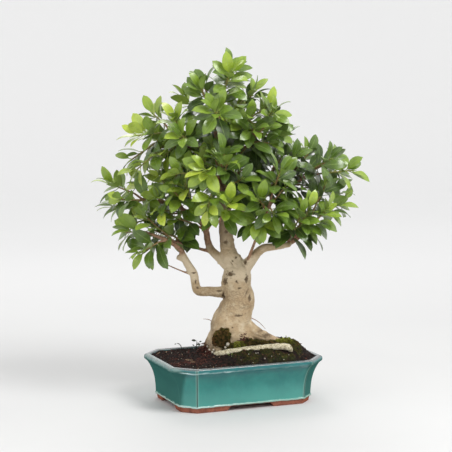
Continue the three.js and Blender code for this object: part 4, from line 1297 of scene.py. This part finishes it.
def make_wood(branchlets):
    """branchlets are the lines of the woody twigs between limbs and leafy shoots."""
    points, faces, edges = wood_surface()
    lines = {"trunk": Line(TRUNK), **{f"root {k}": Line(v) for k, v in ROOTS.items()}, **LIMB_LINES}
    samples = Samples(lines)
    rows = samples.nearest(points)
    number, share, radius, way = rows[:, 12].astype(int), rows[:, 11], rows[:, 9], rows[:, 10]
    off = points - rows[:, :3]
    round_line = np.stack([(off * rows[:, 3:6]).sum(1), (off * rows[:, 6:9]).sum(1)], 1)
    normals = normals_of(points, faces)
    size = smoothstep(2, 24, radius)
    lumps = roughness_at(points, 27, 2) * (0.25 + 1.5 * size)
    rings = np.column_stack([round_line / 9, way / 2.4 + 17 * number])
    rings = roughness_at(rings, 1.0, 3) * (0.22 + 0.35 * size)
    fine = roughness_at(points, 3.2, 2) * (0.08 + 0.16 * size)
    scar, depth = marks_on(points, normals, FRONT_MARKS)
    flipped = points * [1, -1, 1], normals * [1, -1, 1]
    back_scar, back_depth = marks_on(*flipped, back_marks(np.random.default_rng(15), BACK_MARKS))
    middling = roughness_at(points + 30, 11, 2) * 0.9 * size
    forms = forms_on(points, normals) + forms_on(*flipped)
    relief = lumps + middling + rings + fine + forms - depth - back_depth
    on_surface_root = number == list(lines).index("root surface")
    relief += on_surface_root * (1.1 * roughness_at(points, 8, 2) + 0.5 * roughness_at(points, 3))
    calm = smoothstep(0, 1, smoothstep(1.5, 3.5, radius))
    points = points + normals * (relief * calm)[:, None]
    hollow = ((neighbour_means(points, edges) - points) * normals).sum(1)
    for _ in range(3):
        hollow = neighbour_means(hollow, edges)
    # Painted shade, with some lichen stains, in dark ovals in front.
    _, stain = marks_on(points, normals, FRONT_SHADE_AND_STAINS, -0.5)
    # Painted shade in the hollows and in the creases of the forms, carried with the scars.
    shaded = np.clip(hollow * 3.2, 0, 0.6)
    scar = np.max([scar, back_scar, stain, shaded, np.clip(-0.3 * forms, 0, 0.8)], axis=0)
    twig = np.zeros(len(points))
    pale = np.zeros(len(points))
    for i, name in enumerate(lines):
        on = number == i
        if name == "root surface":
            pale[on] = 1
        elif name.startswith("root"):
            twig[on] = ROOT_BROWN * smoothstep(0.2, 0.5, share[on])
        elif name in LIMBS:
            start, end = YOUNG_FROM.get(name, (-0.1, 0.05))
            twig[on] = smoothstep(start, end, share[on])
    for _ in range(4):
        twig, pale = neighbour_means(twig, edges), neighbour_means(pale, edges)
    low = 1 - smoothstep(96, 150, points[:, 2])
    moss = low * (0.35 + 0.5 * roughness_at(points, 12, 2)) * (1 - pale)
    build = Build()
    build.add(points, faces, np.clip(np.column_stack([twig, scar, moss, pale]), 0, 1))
    for line in branchlets:
        build.add(*tube(line, 9, 8), (1, 0, 0, 0))
    return piece("tree_bark", build, [bark_material()], ["tree"], TREE_TURN, 60)


# The crown: pads of foliage on the limbs. A pad's shoots fan out to its rim from places on its
# limb between two shares of the limb's length. A share of the shoots are fresh growth:
# [limb, from share, to share, centre, half size, shoots, young share]

PADS = [
    ["leader", 1, 0.7, [-18, 0, 606], [54, 58, 54], 4, 0.3],
    ["leader", 0.9, 0.8, [-74, -8, 598], [32, 53, 31], 2, 0.4],
    ["high_left", 1, 0.7, [-140, 0, 526], [48, 56, 43], 4, 0.75],
    ["high_right", 1, 0.7, [54, -4, 539], [38, 60, 44], 4, 0.3],
    ["high_front", 1, 0.7, [-34, -58, 556], [30, 30, 30], 1, 0],
    ["high_back", 1, 0.7, [-10, 73, 562], [30, 30, 30], 1, 0.2],
    ["mid_left", 1, 0.7, [-193, 10, 396], [62, 66, 46], 5, 0.6],
    ["low_left", 1, 0.7, [-168, -30, 331], [44, 44, 36], 3, 0],
    ["back_right", 1, 0.7, [181, 11, 449], [52, 68, 52], 5, 0.4],
    ["right", 1, 0.7, [164, -17, 399], [54, 50, 28], 4, 0.55],
    ["front", 1, 0.7, [-55, -71, 427], [59, 31, 56], 4, 0.6],
    ["right_shoot", 1, 0.7, [69, -69, 413], [57, 41, 56], 3, 0.1],
    ["mid_front", 1, 0.7, [8, -70, 398], [27, 33, 21], 1, 0.5],
    ["back", 1, 0.7, [6, 106, 442], [58, 41, 54], 3, 0.1],
    ["back_left", 1, 0.7, [-110, 64, 446], [40, 34, 50], 2, 0.3],
    ["far_back", 1, 0.7, [96, 82, 468], [45, 38, 48], 2, 0.2],
    ["leader", 1, 0.9, [15, -39, 618], [34, 30, 34], 1, 1],
    ["high_left", 0.95, 0.8, [-178, -14, 468], [28, 34, 22], 2, 0.5],
    ["mid_left", 0.8, 0.6, [-112, -44, 416], [40, 36, 32], 2, 0.6],
    ["high_left", 0.6, 0.4, [-90, -52, 508], [47, 48, 42], 1, 0.5],
    ["high_right", 0.6, 0.4, [27, -55, 515], [42, 28, 26], 1, 0.2],
]
# More shoots, that fill the crown between those pads
INNER_PADS = [
    ["high_left", 0.75, 0.35, [-84, -20, 467], [54, 40, 44], 5, 0.05],
    ["mid_left", 0.85, 0.5, [-118, -24, 406], [50, 44, 40], 6, 0.4],
    ["mid_left_side", 1, 0.5, [-124, 18, 333], [36, 34, 30], 3, 0.1],
    ["front", 0.7, 0.2, [-10, -58, 471], [50, 36, 44], 5, 0.1],
    ["leader", 0.9, 0.55, [17, -32, 558], [52, 40, 60], 8, 0.4],
    ["high_right", 0.7, 0.3, [63, 12, 502], [46, 44, 36], 4, 0.2],
    ["back_right", 0.8, 0.3, [113, 3, 444], [44, 44, 40], 5, 0],
    ["right", 0.8, 0.5, [121, -44, 376], [40, 34, 26], 4, 0.2],
    ["right_shoot", 0.8, 0.4, [42, -68, 389], [36, 30, 28], 3, 0.5],
    ["high_back", 1, 0.7, [-11, 38, 504], [60, 36, 50], 5, 0.2],
    ["back", 0.8, 0.3, [30, 60, 430], [60, 30, 40], 4, 0.1],
    ["back_left", 1, 0.7, [-92, 52, 494], [50, 40, 46], 4, 0.2],
]
LEAST_FORWARD = -0.35  # how far back the last shoot of a pad leans: 1 is straight out
OUTWARD_LIFT = 0.35  # how much a pad's outward direction turns up towards the light
SHOOT_TRIES = 8  # turns tried for a shoot that would cross other wood
BRANCHLET_SHARE = 0.28  # of the way from the limb to the shoot's tip
BRANCHLET_LEAST = 17
SHOOT_LIFT = 4  # how far a branchlet's end is bent upwards


class Shoot:
    """A leafy shoot, on a branchlet that grows from a limb."""

    def __init__(self, pad, p, i, attempt):
        name, first, last, centre, half, count, young = pad
        limb = LIMB_LINES[name]
        at = lerp(first, last, i / count)
        tip = self.tip_place(np.array(centre, float), np.array(half, float), count, p, i, attempt)
        foot = limb.point(at)
        share = max(BRANCHLET_SHARE, BRANCHLET_LEAST / np.linalg.norm(tip - foot))
        start = foot + (tip - foot) * share + [0, 0, SHOOT_LIFT]
        self.seed = 1000 * (p + 1) + i
        self.line = Line([[*start, SHOOT_RADIUS], [*tip, SHOOT_TIP_RADIUS]])
        lead = self.line.tangent(0)
        bend = math.acos(min(max(lead @ unit(start - foot), -1), 1))
        end = start - lead * (CLEARANCE + SHOOT_RADIUS * math.sin(bend))
        foot_radius = min(BRANCHLET_RADIUS, 0.9 * limb.radius(at))
        self.branchlet = Line([[*foot, foot_radius], [*end, SHOOT_RADIUS]])
        self.young = random_from(self.seed)() < young
        self.leaves = []

    @staticmethod
    def tip_place(centre, half, count, p, i, attempt):
        """The shoots' ends are spread evenly over the pad's outer side."""
        outward = unit(unit(centre - CROWN_CORE) + [0, 0, OUTWARD_LIFT])
        across = unit(np.array([-outward[1], outward[0], 0]))
        above = np.cross(outward, across)
        forward = 1 - (1 - LEAST_FORWARD) * (i + 0.4) / max(count, 2)
        sideways = math.sqrt(1 - forward * forward)
        angle = GOLDEN_ANGLE * i + 1.3 * p + 0.35 * attempt
        around = across * math.cos(angle) + above * math.sin(angle)
        return centre + (outward * forward + around * sideways) * half


# What grows may not cross what is there

LOFTS = {}


def loft_parts(sizes):
    """Triangles and edges of a closed surface through rings of so many points each."""
    if sizes in LOFTS:
        return LOFTS[sizes]
    faces, start = [], 0
    for lower, upper in zip(sizes, sizes[1:]):
        after = start + lower
        i = j = 0
        while (lower > 1 and i < lower) or (upper > 1 and j < upper):
            a, b = start + i % lower, after + j % upper
            if upper == 1 or (lower > 1 and (i + 1) / lower <= (j + 1) / upper):
                i += 1
                faces.append([a, start + i % lower, b])
            else:
                j += 1
                faces.append([a, after + j % upper, b])
        start = after
    faces += [[0, i + 1, i] for i in range(1, sizes[0] - 1)]
    faces += [[start, start + i, start + i + 1] for i in range(1, sizes[-1] - 1)]
    pairs = {tuple(sorted((face[k], face[k - 1]))) for face in faces for k in range(3)}
    LOFTS[sizes] = np.array(faces), np.array(sorted(pairs))
    return LOFTS[sizes]


class Body:
    """A closed surface through rings of points. Leaves of its owner may touch it."""

    def __init__(self, rings, owner=None):
        points = np.concatenate(rings)
        faces, edges = loft_parts(tuple(len(ring) for ring in rings))
        self.centre = (points.min(0) + points.max(0)) / 2
        self.reach = np.linalg.norm(points - self.centre, axis=1).max()
        self.triangles, self.edges = points[faces], points[edges]
        self.owner = owner


def edges_cross(edges, triangles):
    """Whether any of the edges passes through any of the triangles."""
    start, corner = edges[:, 0], triangles[:, 0]
    way = edges[:, 1] - start
    first, second = triangles[:, 1] - corner, triangles[:, 2] - corner
    flat = np.cross(first, second)
    moment = np.cross(start, way)
    det = -way @ flat.T
    u = moment @ second.T - way @ np.cross(second, corner).T
    v = -moment @ first.T - way @ np.cross(corner, first).T
    t = start @ flat.T - (corner * flat).sum(1)
    det[np.abs(det) < 1e-12] = np.nan
    u, v, t = u / det, v / det, t / det
    return bool(np.any((u >= 0) & (u <= 1) & (v >= 0) & (u + v <= 1) & (t >= 0) & (t <= 1)))


class Thicket:
    """Everything that has grown so far."""

    def __init__(self):
        self.bodies, self.centres, self.reaches = [], np.zeros((0, 3)), np.zeros(0)

    def add(self, bodies):
        self.bodies += bodies
        self.centres = np.concatenate([self.centres, [body.centre for body in bodies]])
        self.reaches = np.concatenate([self.reaches, [body.reach for body in bodies]])

    def blocks(self, body, owner=None):
        distances = np.linalg.norm(self.centres - body.centre, axis=1)
        near = [self.bodies[i] for i in np.flatnonzero(distances <= self.reaches + body.reach)]
        near = [other for other in near if owner is None or other.owner is not owner]
        if not near:
            return False
        triangles = np.concatenate([other.triangles for other in near]) - body.centre
        edges = np.concatenate([other.edges for other in near]) - body.centre
        return edges_cross(body.edges - body.centre, triangles) or edges_cross(
            edges, body.triangles - body.centre
        )


def line_bodies(line, steps, owner=None):
    """Short straight prisms round a line, a little fatter than what grows along it."""
    found = []
    angles = 2 * math.pi * np.arange(5) / 5
    for s in range(steps):
        start, end = s / steps, (s + 1) / steps
        along = unit(line.point(end) - line.point(start))
        side = unit(np.array([-along[1], along[0], 0.001]))
        over = np.cross(along, side)
        ring = np.outer(np.cos(angles), side) + np.outer(np.sin(angles), over)
        radii = [1.15 * line.radius(t) + CLEARANCE for t in (start, end)]
        found.append(Body([line.point(t) + ring * r for t, r in zip((start, end), radii)], owner))
    return found


# Leaves. A leaf has a frame of its own: x along the blade, y across it, z out of its upper face.

LEAF_LENGTH = 45
LEAF_WIDTH_SHARE = 0.52
PETIOLE = 7.5
PETIOLE_RADIUS = 1.05
MIDRIB_THICKNESS = 1.4
TIP_DROP = 0.07
FOLD = 0.12
LEAVES_PER_SHOOT = 6
LEAF_ROOM = 0.9  # kept free round each blade
LEAF_TURNS = [0, 0.5, -0.5, 1, -1, 1.6, -1.6]  # tried in turn, for a leaf that is in the way
LEAFY_SHARE = 0.84  # of a shoot's length
LEAN_AT_TIP = 32  # degrees from the shoot
LEAN_STEP = 7.5  # more for each leaf further back
LEAN_PER_TURN = 6
LEAN_SPREAD = 24  # between the least and the most, at the same place
LIFT_AT_TIP = 0.18  # how much a blade turns up from its lean
LIFT_STEP = 0.1  # less for each leaf further back
TIP_LEAF = 0.74  # size of the leaf at the tip, as a share of a full-grown one's
LEAF_GROWTH = 0.055  # more for each of the next five
SIZE_SPREAD = 0.28
LIGHT = np.array([0, -0.35, 1])  # where a blade's upper face turns, besides away from the core
LIGHT_OUTWARD = 0.45
BLADE_STATIONS = [[0.40, 1, 0.053], [0.78, 0.68, 0.025]]  # [share of its length, width, rise]


class Leaf:
    """A blade on its petiole, k places inwards from its shoot's tip."""

    def __init__(self, origin, along, up, length, seed, k=0):
        self.origin, self.along, self.up = origin, along, up
        self.across = np.cross(up, along)
        self.length, self.seed, self.k = length, seed, k

    def placed(self, points):
        return self.origin + points @ np.array([self.along, self.across, self.up])

    def body(self):
        """Its outline with some room round it."""
        petiole = PETIOLE_RADIUS + 0.5 * LEAF_ROOM
        x = PETIOLE - LEAF_ROOM
        rings = [[[x, petiole, 0.6 * petiole], [x, -petiole, 0.6 * petiole], [x, 0, -petiole]]]
        thick = MIDRIB_THICKNESS / 2 + LEAF_ROOM
        for share, width, rise in BLADE_STATIONS:
            x = PETIOLE + share * self.length
            half = width * (0.5 * self.length * LEAF_WIDTH_SHARE + LEAF_ROOM)
            rib = rise * self.length
            edge = rib + FOLD * half
            rings.append([[x, half, edge], [x, 0, rib + thick], [x, -half, edge], [x, 0, rib - thick]])
        rings.append([[PETIOLE + self.length + LEAF_ROOM, 0, -TIP_DROP * self.length]])
        return Body([self.placed(np.array(ring, float)) for ring in rings])


def upright(vector, along):
    """The direction nearest to the vector that stands square on along."""
    return unit(vector - along * (vector @ along))


def leaf_on(shoot, k, turn):
    """The shoot's leaf at place k, turned out of the way of others by one of LEAF_TURNS."""
    seed = int(shoot.seed * 97 + k * 13 + 5)
    random = random_from(seed)
    shift = random()
    twist, tilt, size, roll = (random() - 0.5 for _ in range(4))
    at = 1 - LEAFY_SHARE * (k + 0.25 * shift) / LEAVES_PER_SHOOT
    stem = shoot.line.tangent(at)
    side = unit(np.array([-stem[1], stem[0], 0.001]))
    over = np.cross(stem, side)
    angle = GOLDEN_ANGLE * k + 0.7 * shoot.seed + 0.9 * twist + LEAF_TURNS[turn]
    lean = math.radians(LEAN_AT_TIP + LEAN_STEP * k + LEAN_SPREAD * tilt + LEAN_PER_TURN * turn)
    around = side * math.cos(angle) + over * math.sin(angle)
    along = stem * math.cos(lean) + around * math.sin(lean)
    along = unit(along + [0, 0, LIFT_AT_TIP - LIFT_STEP * k])
    origin = shoot.line.point(at)
    outward = unit(level(origin - CROWN_CORE))
    up = upright(stem * 0.5 + outward * LIGHT_OUTWARD + LIGHT, along)
    up = unit(up + np.cross(up, along) * roll)
    length = LEAF_LENGTH * (TIP_LEAF + LEAF_GROWTH * min(k, 5) + SIZE_SPREAD * size)
    return Leaf(origin, along, up, length, seed, k)


def grow_shoots(thicket, stems, pads, first, dropped):
    """Shoots of all pads, each where its stem and branchlet are clear of other wood. A shoot that
    finds no clear place is left out if dropped is set, and takes the last one otherwise."""
    shoots = []
    for p, pad in enumerate(pads, first):
        for i in range(pad[5]):  # as many as the pad has shoots
            for attempt in range(SHOOT_TRIES):
                shoot = Shoot(pad, p, i, attempt)
                stem, branchlet = line_bodies(shoot.line, 2, shoot), line_bodies(shoot.branchlet, 2)
                blocked = any(thicket.blocks(body) or stems.blocks(body) for body in stem)
                blocked = blocked or any(stems.blocks(body) for body in branchlet)
                if blocked and (dropped or attempt + 1 < SHOOT_TRIES):
                    continue
                thicket.add(branchlet)
                stems.add(stem)
                shoots.append(shoot)
                break
    return shoots


def grow_leaves(thicket, shoots, places):
    """Leaves at each of those places on every shoot, from its tip inwards, each where it is clear
    of what is there."""
    for k in places:
        for shoot in shoots:
            for turn in range(len(LEAF_TURNS)):
                leaf = leaf_on(shoot, k, turn)
                body = leaf.body()
                if thicket.blocks(body, shoot):
                    continue
                thicket.add([body])
                shoot.leaves.append(leaf)
                break


# The fine form of a leaf
LEAF_AROUND = np.array([1, 0.5, 0, -0.5, -1, -0.5, 0, 0.5])
LEAF_STATIONS = np.array([0, 0.05, 0.14, 0.27, 0.42, 0.57, 0.72, 0.85, 0.945])
STALK_STATIONS = [[0, 0.95], [2.5, 0.75], [5.5, 0.8]]  # of the petiole: [distance, radius]


def leaf_pattern():
    """Faces of a fine leaf, and for each corner how far across and along it lies and whether it
    is on the underside."""
    rings = 3 + len(LEAF_STATIONS)
    around = len(LEAF_AROUND)
    _, faces = skin(np.zeros((rings, around, 3)), np.zeros(3), np.zeros(3))
    place = np.append(np.tile(np.arange(around), rings), [0, 0])
    across = np.append(np.tile(np.abs(LEAF_AROUND), rings), [0, 0])
    along = np.append(np.repeat([0, 0, 0, *LEAF_STATIONS], around), [0, 1])
    under = np.isin(place[faces], [5, 6, 7]).any(axis=1)
    looks = np.stack([across[faces] * 0, across[faces], along[faces], across[faces] * 0], 2)
    looks[:, :, 3] = under[:, None]
    return faces, looks


LEAF_FACES, LEAF_LOOKS = leaf_pattern()


def leaf_points(leaf):
    random = random_from(leaf.seed + 7)
    curl, wave, twist, phase = 0.6 + 0.8 * random(), random(), random() - 0.5, 6.3 * random()
    length, s = leaf.length, LEAF_STATIONS
    half = LEAF_WIDTH_SHARE / 2 * length * np.sin(math.pi * s**0.92) ** (0.9 - 0.35 * s)
    half = np.maximum(half * (1 - 0.45 * smoothstep(0.86, 0.96, s)), 1.1)
    rise = length * s * (0.138 + 0.120 * s - 0.328 * s * s) * curl
    u = LEAF_AROUND[None]
    y = u * half[:, None]
    lift = np.where(np.abs(u) == 1, 0.12, np.where(u == 0, 0, 0.055)) * half[:, None]
    thick = np.array([0, 0.32, 0.25, 0.32, 0, -0.32, -0.75, -0.32])[None]
    ripple = 0.05 * wave * half[:, None] * np.sin(9 * s[:, None] + phase + 1.6 * u) * u**2
    tilt = 0.30 * twist * (s[:, None] - 0.3) * y
    x = np.broadcast_to((PETIOLE + s * length)[:, None], y.shape)
    blade = np.stack([x, y, rise[:, None] + lift + thick + ripple + tilt], 2)
    stalk = [np.column_stack([np.full(8, at), r * circle(8)]) for at, r in STALK_STATIONS]
    rings = np.concatenate([stalk, blade])
    tip = [PETIOLE + length, 0, -TIP_DROP * length * curl]
    points, _ = skin(rings, [-1.1, 0, 0], tip)
    return leaf.placed(points)


YOUNG_TONE = (0.70, 0.05)  # of a young shoot's first leaf, and less for each further back
OLD_TONE = (0.49, 0.035)
OUTER_TONE = 0.13  # how much fresher the leaves are towards the crown's outside
CROWN_HALF = [190, 110, 190]
ORANGE_SHARE = 0.008  # of the leaves far back on a shoot
LEFT_LIGHT_TONE = 0.0005  # how much lighter the leaves are for each millimetre to the left: fresher leaves and painted light
TOP_TONE = 0.0008  # and how much darker they are for each millimetre above 540


def leaf_tone(leaf, young, middle):
    """Shade of a leaf, from 0 for an old dark one to 1."""
    random = random_from(leaf.seed + 3)
    first, step = YOUNG_TONE if young else OLD_TONE
    tone = first - step * leaf.k
    out = np.linalg.norm((middle - CROWN_CORE) / CROWN_HALF)
    tone += OUTER_TONE * min(max(out - 0.75, -0.8), 0.45)
    tone += 0.3 * (random() - 0.5) - LEFT_LIGHT_TONE * middle[0] - TOP_TONE * max(middle[2] - 540, 0)
    if random() < ORANGE_SHARE and leaf.k >= 4:
        return 1.0
    return min(max(tone, 0.04), 0.86)


def add_leaf(build, points, tone):
    looks = LEAF_LOOKS.copy()
    looks[:, :, 0] = tone
    build.add(points, LEAF_FACES, looks)


def add_stem(build, shoot, wood):
    """The green stem with its bud, and with its branchlet if wood is set."""
    build.add(*tube(shoot.line, 8, 10), (0.6 if shoot.young else 0.25, 0, 0, 0), 1)
    tip, lead = shoot.line.point(1), shoot.line.tangent(1)
    bud = Line([[*(tip - lead), 1.3], [*(tip + 3 * lead), 1.5], [*(tip + 11 * lead), 0.35]])
    build.add(*tube(bud, 8, 8), (1, 0, 0, 0), 1)
    if wood:
        build.add(*tube(shoot.branchlet, 8, 8), (0, 0, 0, 0), 1)


def make_crown():
    thicket, stems = Thicket(), Thicket()
    thicket.add([body for line in LIMB_LINES.values() for body in line_bodies(line, 10)])
    shoots = grow_shoots(thicket, stems, PADS, 0, False)
    thicket.add([body for shoot in shoots for body in line_bodies(shoot.line, 2, shoot)])
    grow_leaves(thicket, shoots, range(LEAVES_PER_SHOOT))
    inner = grow_shoots(thicket, stems, INNER_PADS, 100, True)
    thicket.add([body for shoot in inner for body in line_bodies(shoot.line, 2, shoot)])
    grow_leaves(thicket, inner, range(LEAVES_PER_SHOOT + 2))
    between = [k + 0.5 for k in range(LEAVES_PER_SHOOT + 1)]
    grow_leaves(thicket, shoots + inner, between)
    return shoots, inner


def make_sprays(shoots, inner):
    """Each shoot is a piece. The first ones stand for the solids, the inner ones are added."""
    blades = {
        "leaf": leaf_material("leaf_blade", 0.30), "young_leaf": leaf_material("young_blade", 0.26),
    }
    stem = stem_material()
    named = [(f"spray_{n:02d}_fine", [f"spray_{n:02d}"], shoot) for n, shoot in enumerate(shoots, 1)]
    named += [(f"inner_spray_{n:02d}", [], shoot) for n, shoot in enumerate(inner, 1)]
    for name, nodes, shoot in named:
        build = Build()
        for leaf in shoot.leaves:
            points = leaf_points(leaf)
            add_leaf(build, points, leaf_tone(leaf, shoot.young, points.mean(0)))
        add_stem(build, shoot, not nodes)
        slot = "young_leaf" if shoot.young else "leaf"
        piece(name, build, [blades[slot], stem], nodes, TREE_TURN, 50)


# Small things that grow beside the tree

WEED_LEAF_SCALE = 0.3  # of the fine leaf's form
# [foot, tone, radius of the stalks, leaves], a leaf being [aside, up, length, turn in degrees]
WEEDS = [
    [[-74, 67, 85], 0.02, 0.45,
     [[2, 19, 9.5, 172], [4, 16, 5.5, 20], [0, 9, 6.5, 40], [-2, 8, 4.5, 150], [4, 7, 5.5, 60]]],
    [[-103, 65, 85], 0.02, 0.85, [[-9, 14, 4, 195]]],
    [[105, -2, 117], 0.75, 0.4, [[-3, 4, 4, 140], [3, 4, 4, 40], [0, 5, 4, 90]]],
    [[-6, -68, 98], 0.6, 0.4, [[-1, 3, 3, 130], [1.5, 3, 3, 50]]],
]


def make_weeds():
    """A dark sprig, a bent sprout and green seedlings on the soil."""
    build = Build()
    for foot, tone, radius, leaves in WEEDS:
        foot = np.array(foot, float)
        for number, (aside, rise, length, turn) in enumerate(leaves):
            bends = [[0, 0, 0], [0.2 * aside, 0, 0.6 * rise], [0.6 * aside, 0, 0.94 * rise]]
            end = foot + [aside, 0, rise]
            stalk = Line([[*place, radius] for place in [*(foot + bends), end]])
            build.add(*tube(stalk, 6, 8), (tone, 0, 0, 0), 1)
            angle = math.radians(turn)
            along = unit(np.array([math.cos(angle), -0.1, math.sin(angle)]))
            up = upright(np.array([0.2, -0.8, 0.5]), along)
            leaf = Leaf(end, along, up, length / WEED_LEAF_SCALE, 900 + number)
            add_leaf(build, end + (leaf_points(leaf) - end) * WEED_LEAF_SCALE, tone)
    m = Material("weed_stalk", Roughness=0.7)
    dark = m.mix(m.noise(2), (62, 56, 42), (34, 32, 26))
    m.drive("Base Color", m.mix(m.look[0], dark, (132, 150, 66)))
    m.bump(m.noise(1), 0.1)
    return piece("weeds", build, [leaf_material("weed_blade", 0.5), m.made], turn=TREE_TURN)


ROOTLETS = [
    [[-36, 0, 152, 0.8], [-47, 1, 159, 0.7], [-59, 0, 161, 0.35]],
    [[36, -6, 164, 0.9], [48, -8, 158, 0.7], [57, -7, 150, 0.6], [64, -5, 142, 0.35]],
]


def make_rootlets():
    """Dead aerial rootlets that stand off the foot of the trunk."""
    build = Build()
    for stations in ROOTLETS:
        build.add(*tube(Line(stations), 7, 14), (0.9, 0, 0, 0))
    return piece("rootlets", build, [bark_material()], turn=TREE_TURN)


# Light, floor and camera

FLOOR_RADIUS = 4.8  # metres, as all of this section
WALL_CURVE = 1.2
WALL_HEIGHT = 2.2
FLOOR_AROUND = 96
FAR_GLOW = 0.15  # how brightly the far floor and wall glow: painted light
WORLD_LIGHT = 0.82
LAMPS_AIM = Vector((0, 0, 0.35))
LAMPS = [  # [name, to the right, towards the camera, up, size, watts]
    ["key_light", 1.1, 1.0, 1.5, 1.0, 33],
    ["fill_light", -1.5, 1.2, 0.5, 1.6, 7],
    ["rim_light", -0.4, -1.4, 1.5, 1.2, 12],
]


def camera_directions():
    a, e = CAMERA_AZIMUTH, CAMERA_ELEVATION
    back = Vector((-math.sin(a) * math.cos(e), -math.cos(a) * math.cos(e), math.sin(e)))
    return back, Vector((math.cos(a), -math.sin(a), 0))


def facing(direction):
    """Turn of a lamp or camera that lies in that direction from what it looks at."""
    return direction.to_track_quat("Z", "Y").to_euler()


def make_studio():
    scene = bpy.context.scene
    scene.view_settings.view_transform = "Standard"
    scene.view_settings.look = "None"
    world = bpy.data.worlds.new("studio")
    world.use_nodes = True
    world.node_tree.nodes["Background"].inputs["Color"].default_value = (1, 1, 1, 1)
    world.node_tree.nodes["Background"].inputs["Strength"].default_value = WORLD_LIGHT
    scene.world = world
    back, right = camera_directions()
    flat = Vector((back.x, back.y, 0)).normalized()
    for name, aside, forward, up, size, watts in LAMPS:
        data = bpy.data.lights.new(name, "AREA")
        data.shape = "DISK"
        data.size = size
        data.energy = watts
        lamp = linked(name, data)
        lamp.location = LAMPS_AIM + right * aside + flat * forward + Vector((0, 0, up))
        lamp.rotation_euler = facing(lamp.location - LAMPS_AIM)


def make_floor():
    """A wide pale floor that curves up into a low wall all round."""
    profile = [(0.01, 0), (1.5, 0), (3, 0), (FLOOR_RADIUS, 0)]
    for angle in np.linspace(0, math.pi / 2, 13)[1:]:
        out, rise = math.sin(angle), 1 - math.cos(angle)
        profile.append((FLOOR_RADIUS + WALL_CURVE * out, WALL_CURVE * rise))
    profile.append((FLOOR_RADIUS + WALL_CURVE, WALL_HEIGHT))
    points = [(r * x, r * y, z) for r, z in profile for x, y in circle(FLOOR_AROUND)]
    faces = [tuple(range(FLOOR_AROUND))]
    for start in range(0, len(points) - FLOOR_AROUND, FLOOR_AROUND):
        for j in range(FLOOR_AROUND):
            a, b = start + j, start + (j + 1) % FLOOR_AROUND
            faces.append((a, a + FLOOR_AROUND, b + FLOOR_AROUND, b))
    mesh = bpy.data.meshes.new("studio_floor")
    mesh.from_pydata(points, [], faces)
    mesh.shade_smooth()
    m = Material("pale_floor", Roughness=0.7, Specular_IOR_Level=0.3)
    far = m.add("ShaderNodeVectorMath", {0: m.place}, operation="LENGTH").outputs["Value"]
    shade = m.mix(m.noise(400, 2), (212, 212, 211), (206, 206, 206))
    # Painted light: the floor turns paler away from the pot, and glows far off and on the wall.
    m.drive("Base Color", m.mix(m.band(far, 0.4, 2.4), shade, (230, 230, 230)))
    m.shader.inputs["Emission Color"].default_value = (1, 1, 1, 1)
    m.drive("Emission Strength", m.band(far, 1.0, 3.4, 0.0, FAR_GLOW))
    mesh.materials.append(m.made)
    floor = linked("studio_floor", mesh)


def make_camera():
    back, right = camera_directions()
    data = bpy.data.cameras.new("camera")
    data.lens = CAMERA_LENS
    data.sensor_width = CAMERA_SENSOR
    data.clip_end = 50
    camera = linked("camera", data)
    camera.location = right * AIM_RIGHT + Vector((0, 0, AIM_HEIGHT)) + back * CAMERA_DISTANCE
    camera.rotation_euler = facing(back)
    bpy.context.scene.camera = camera


make_pot()
make_screen("drain_screen_left", -DRAIN_OFFSET)
make_screen("drain_screen_right", DRAIN_OFFSET)
make_soil()
make_crumbs()
make_grains()
make_pebbles()
make_moss_bank()
make_cushions()
shoots, inner_shoots = make_crown()
make_wood([shoot.branchlet for shoot in shoots])
make_sprays(shoots, inner_shoots)
make_weeds()
make_rootlets()
make_floor()
make_studio()
make_camera()
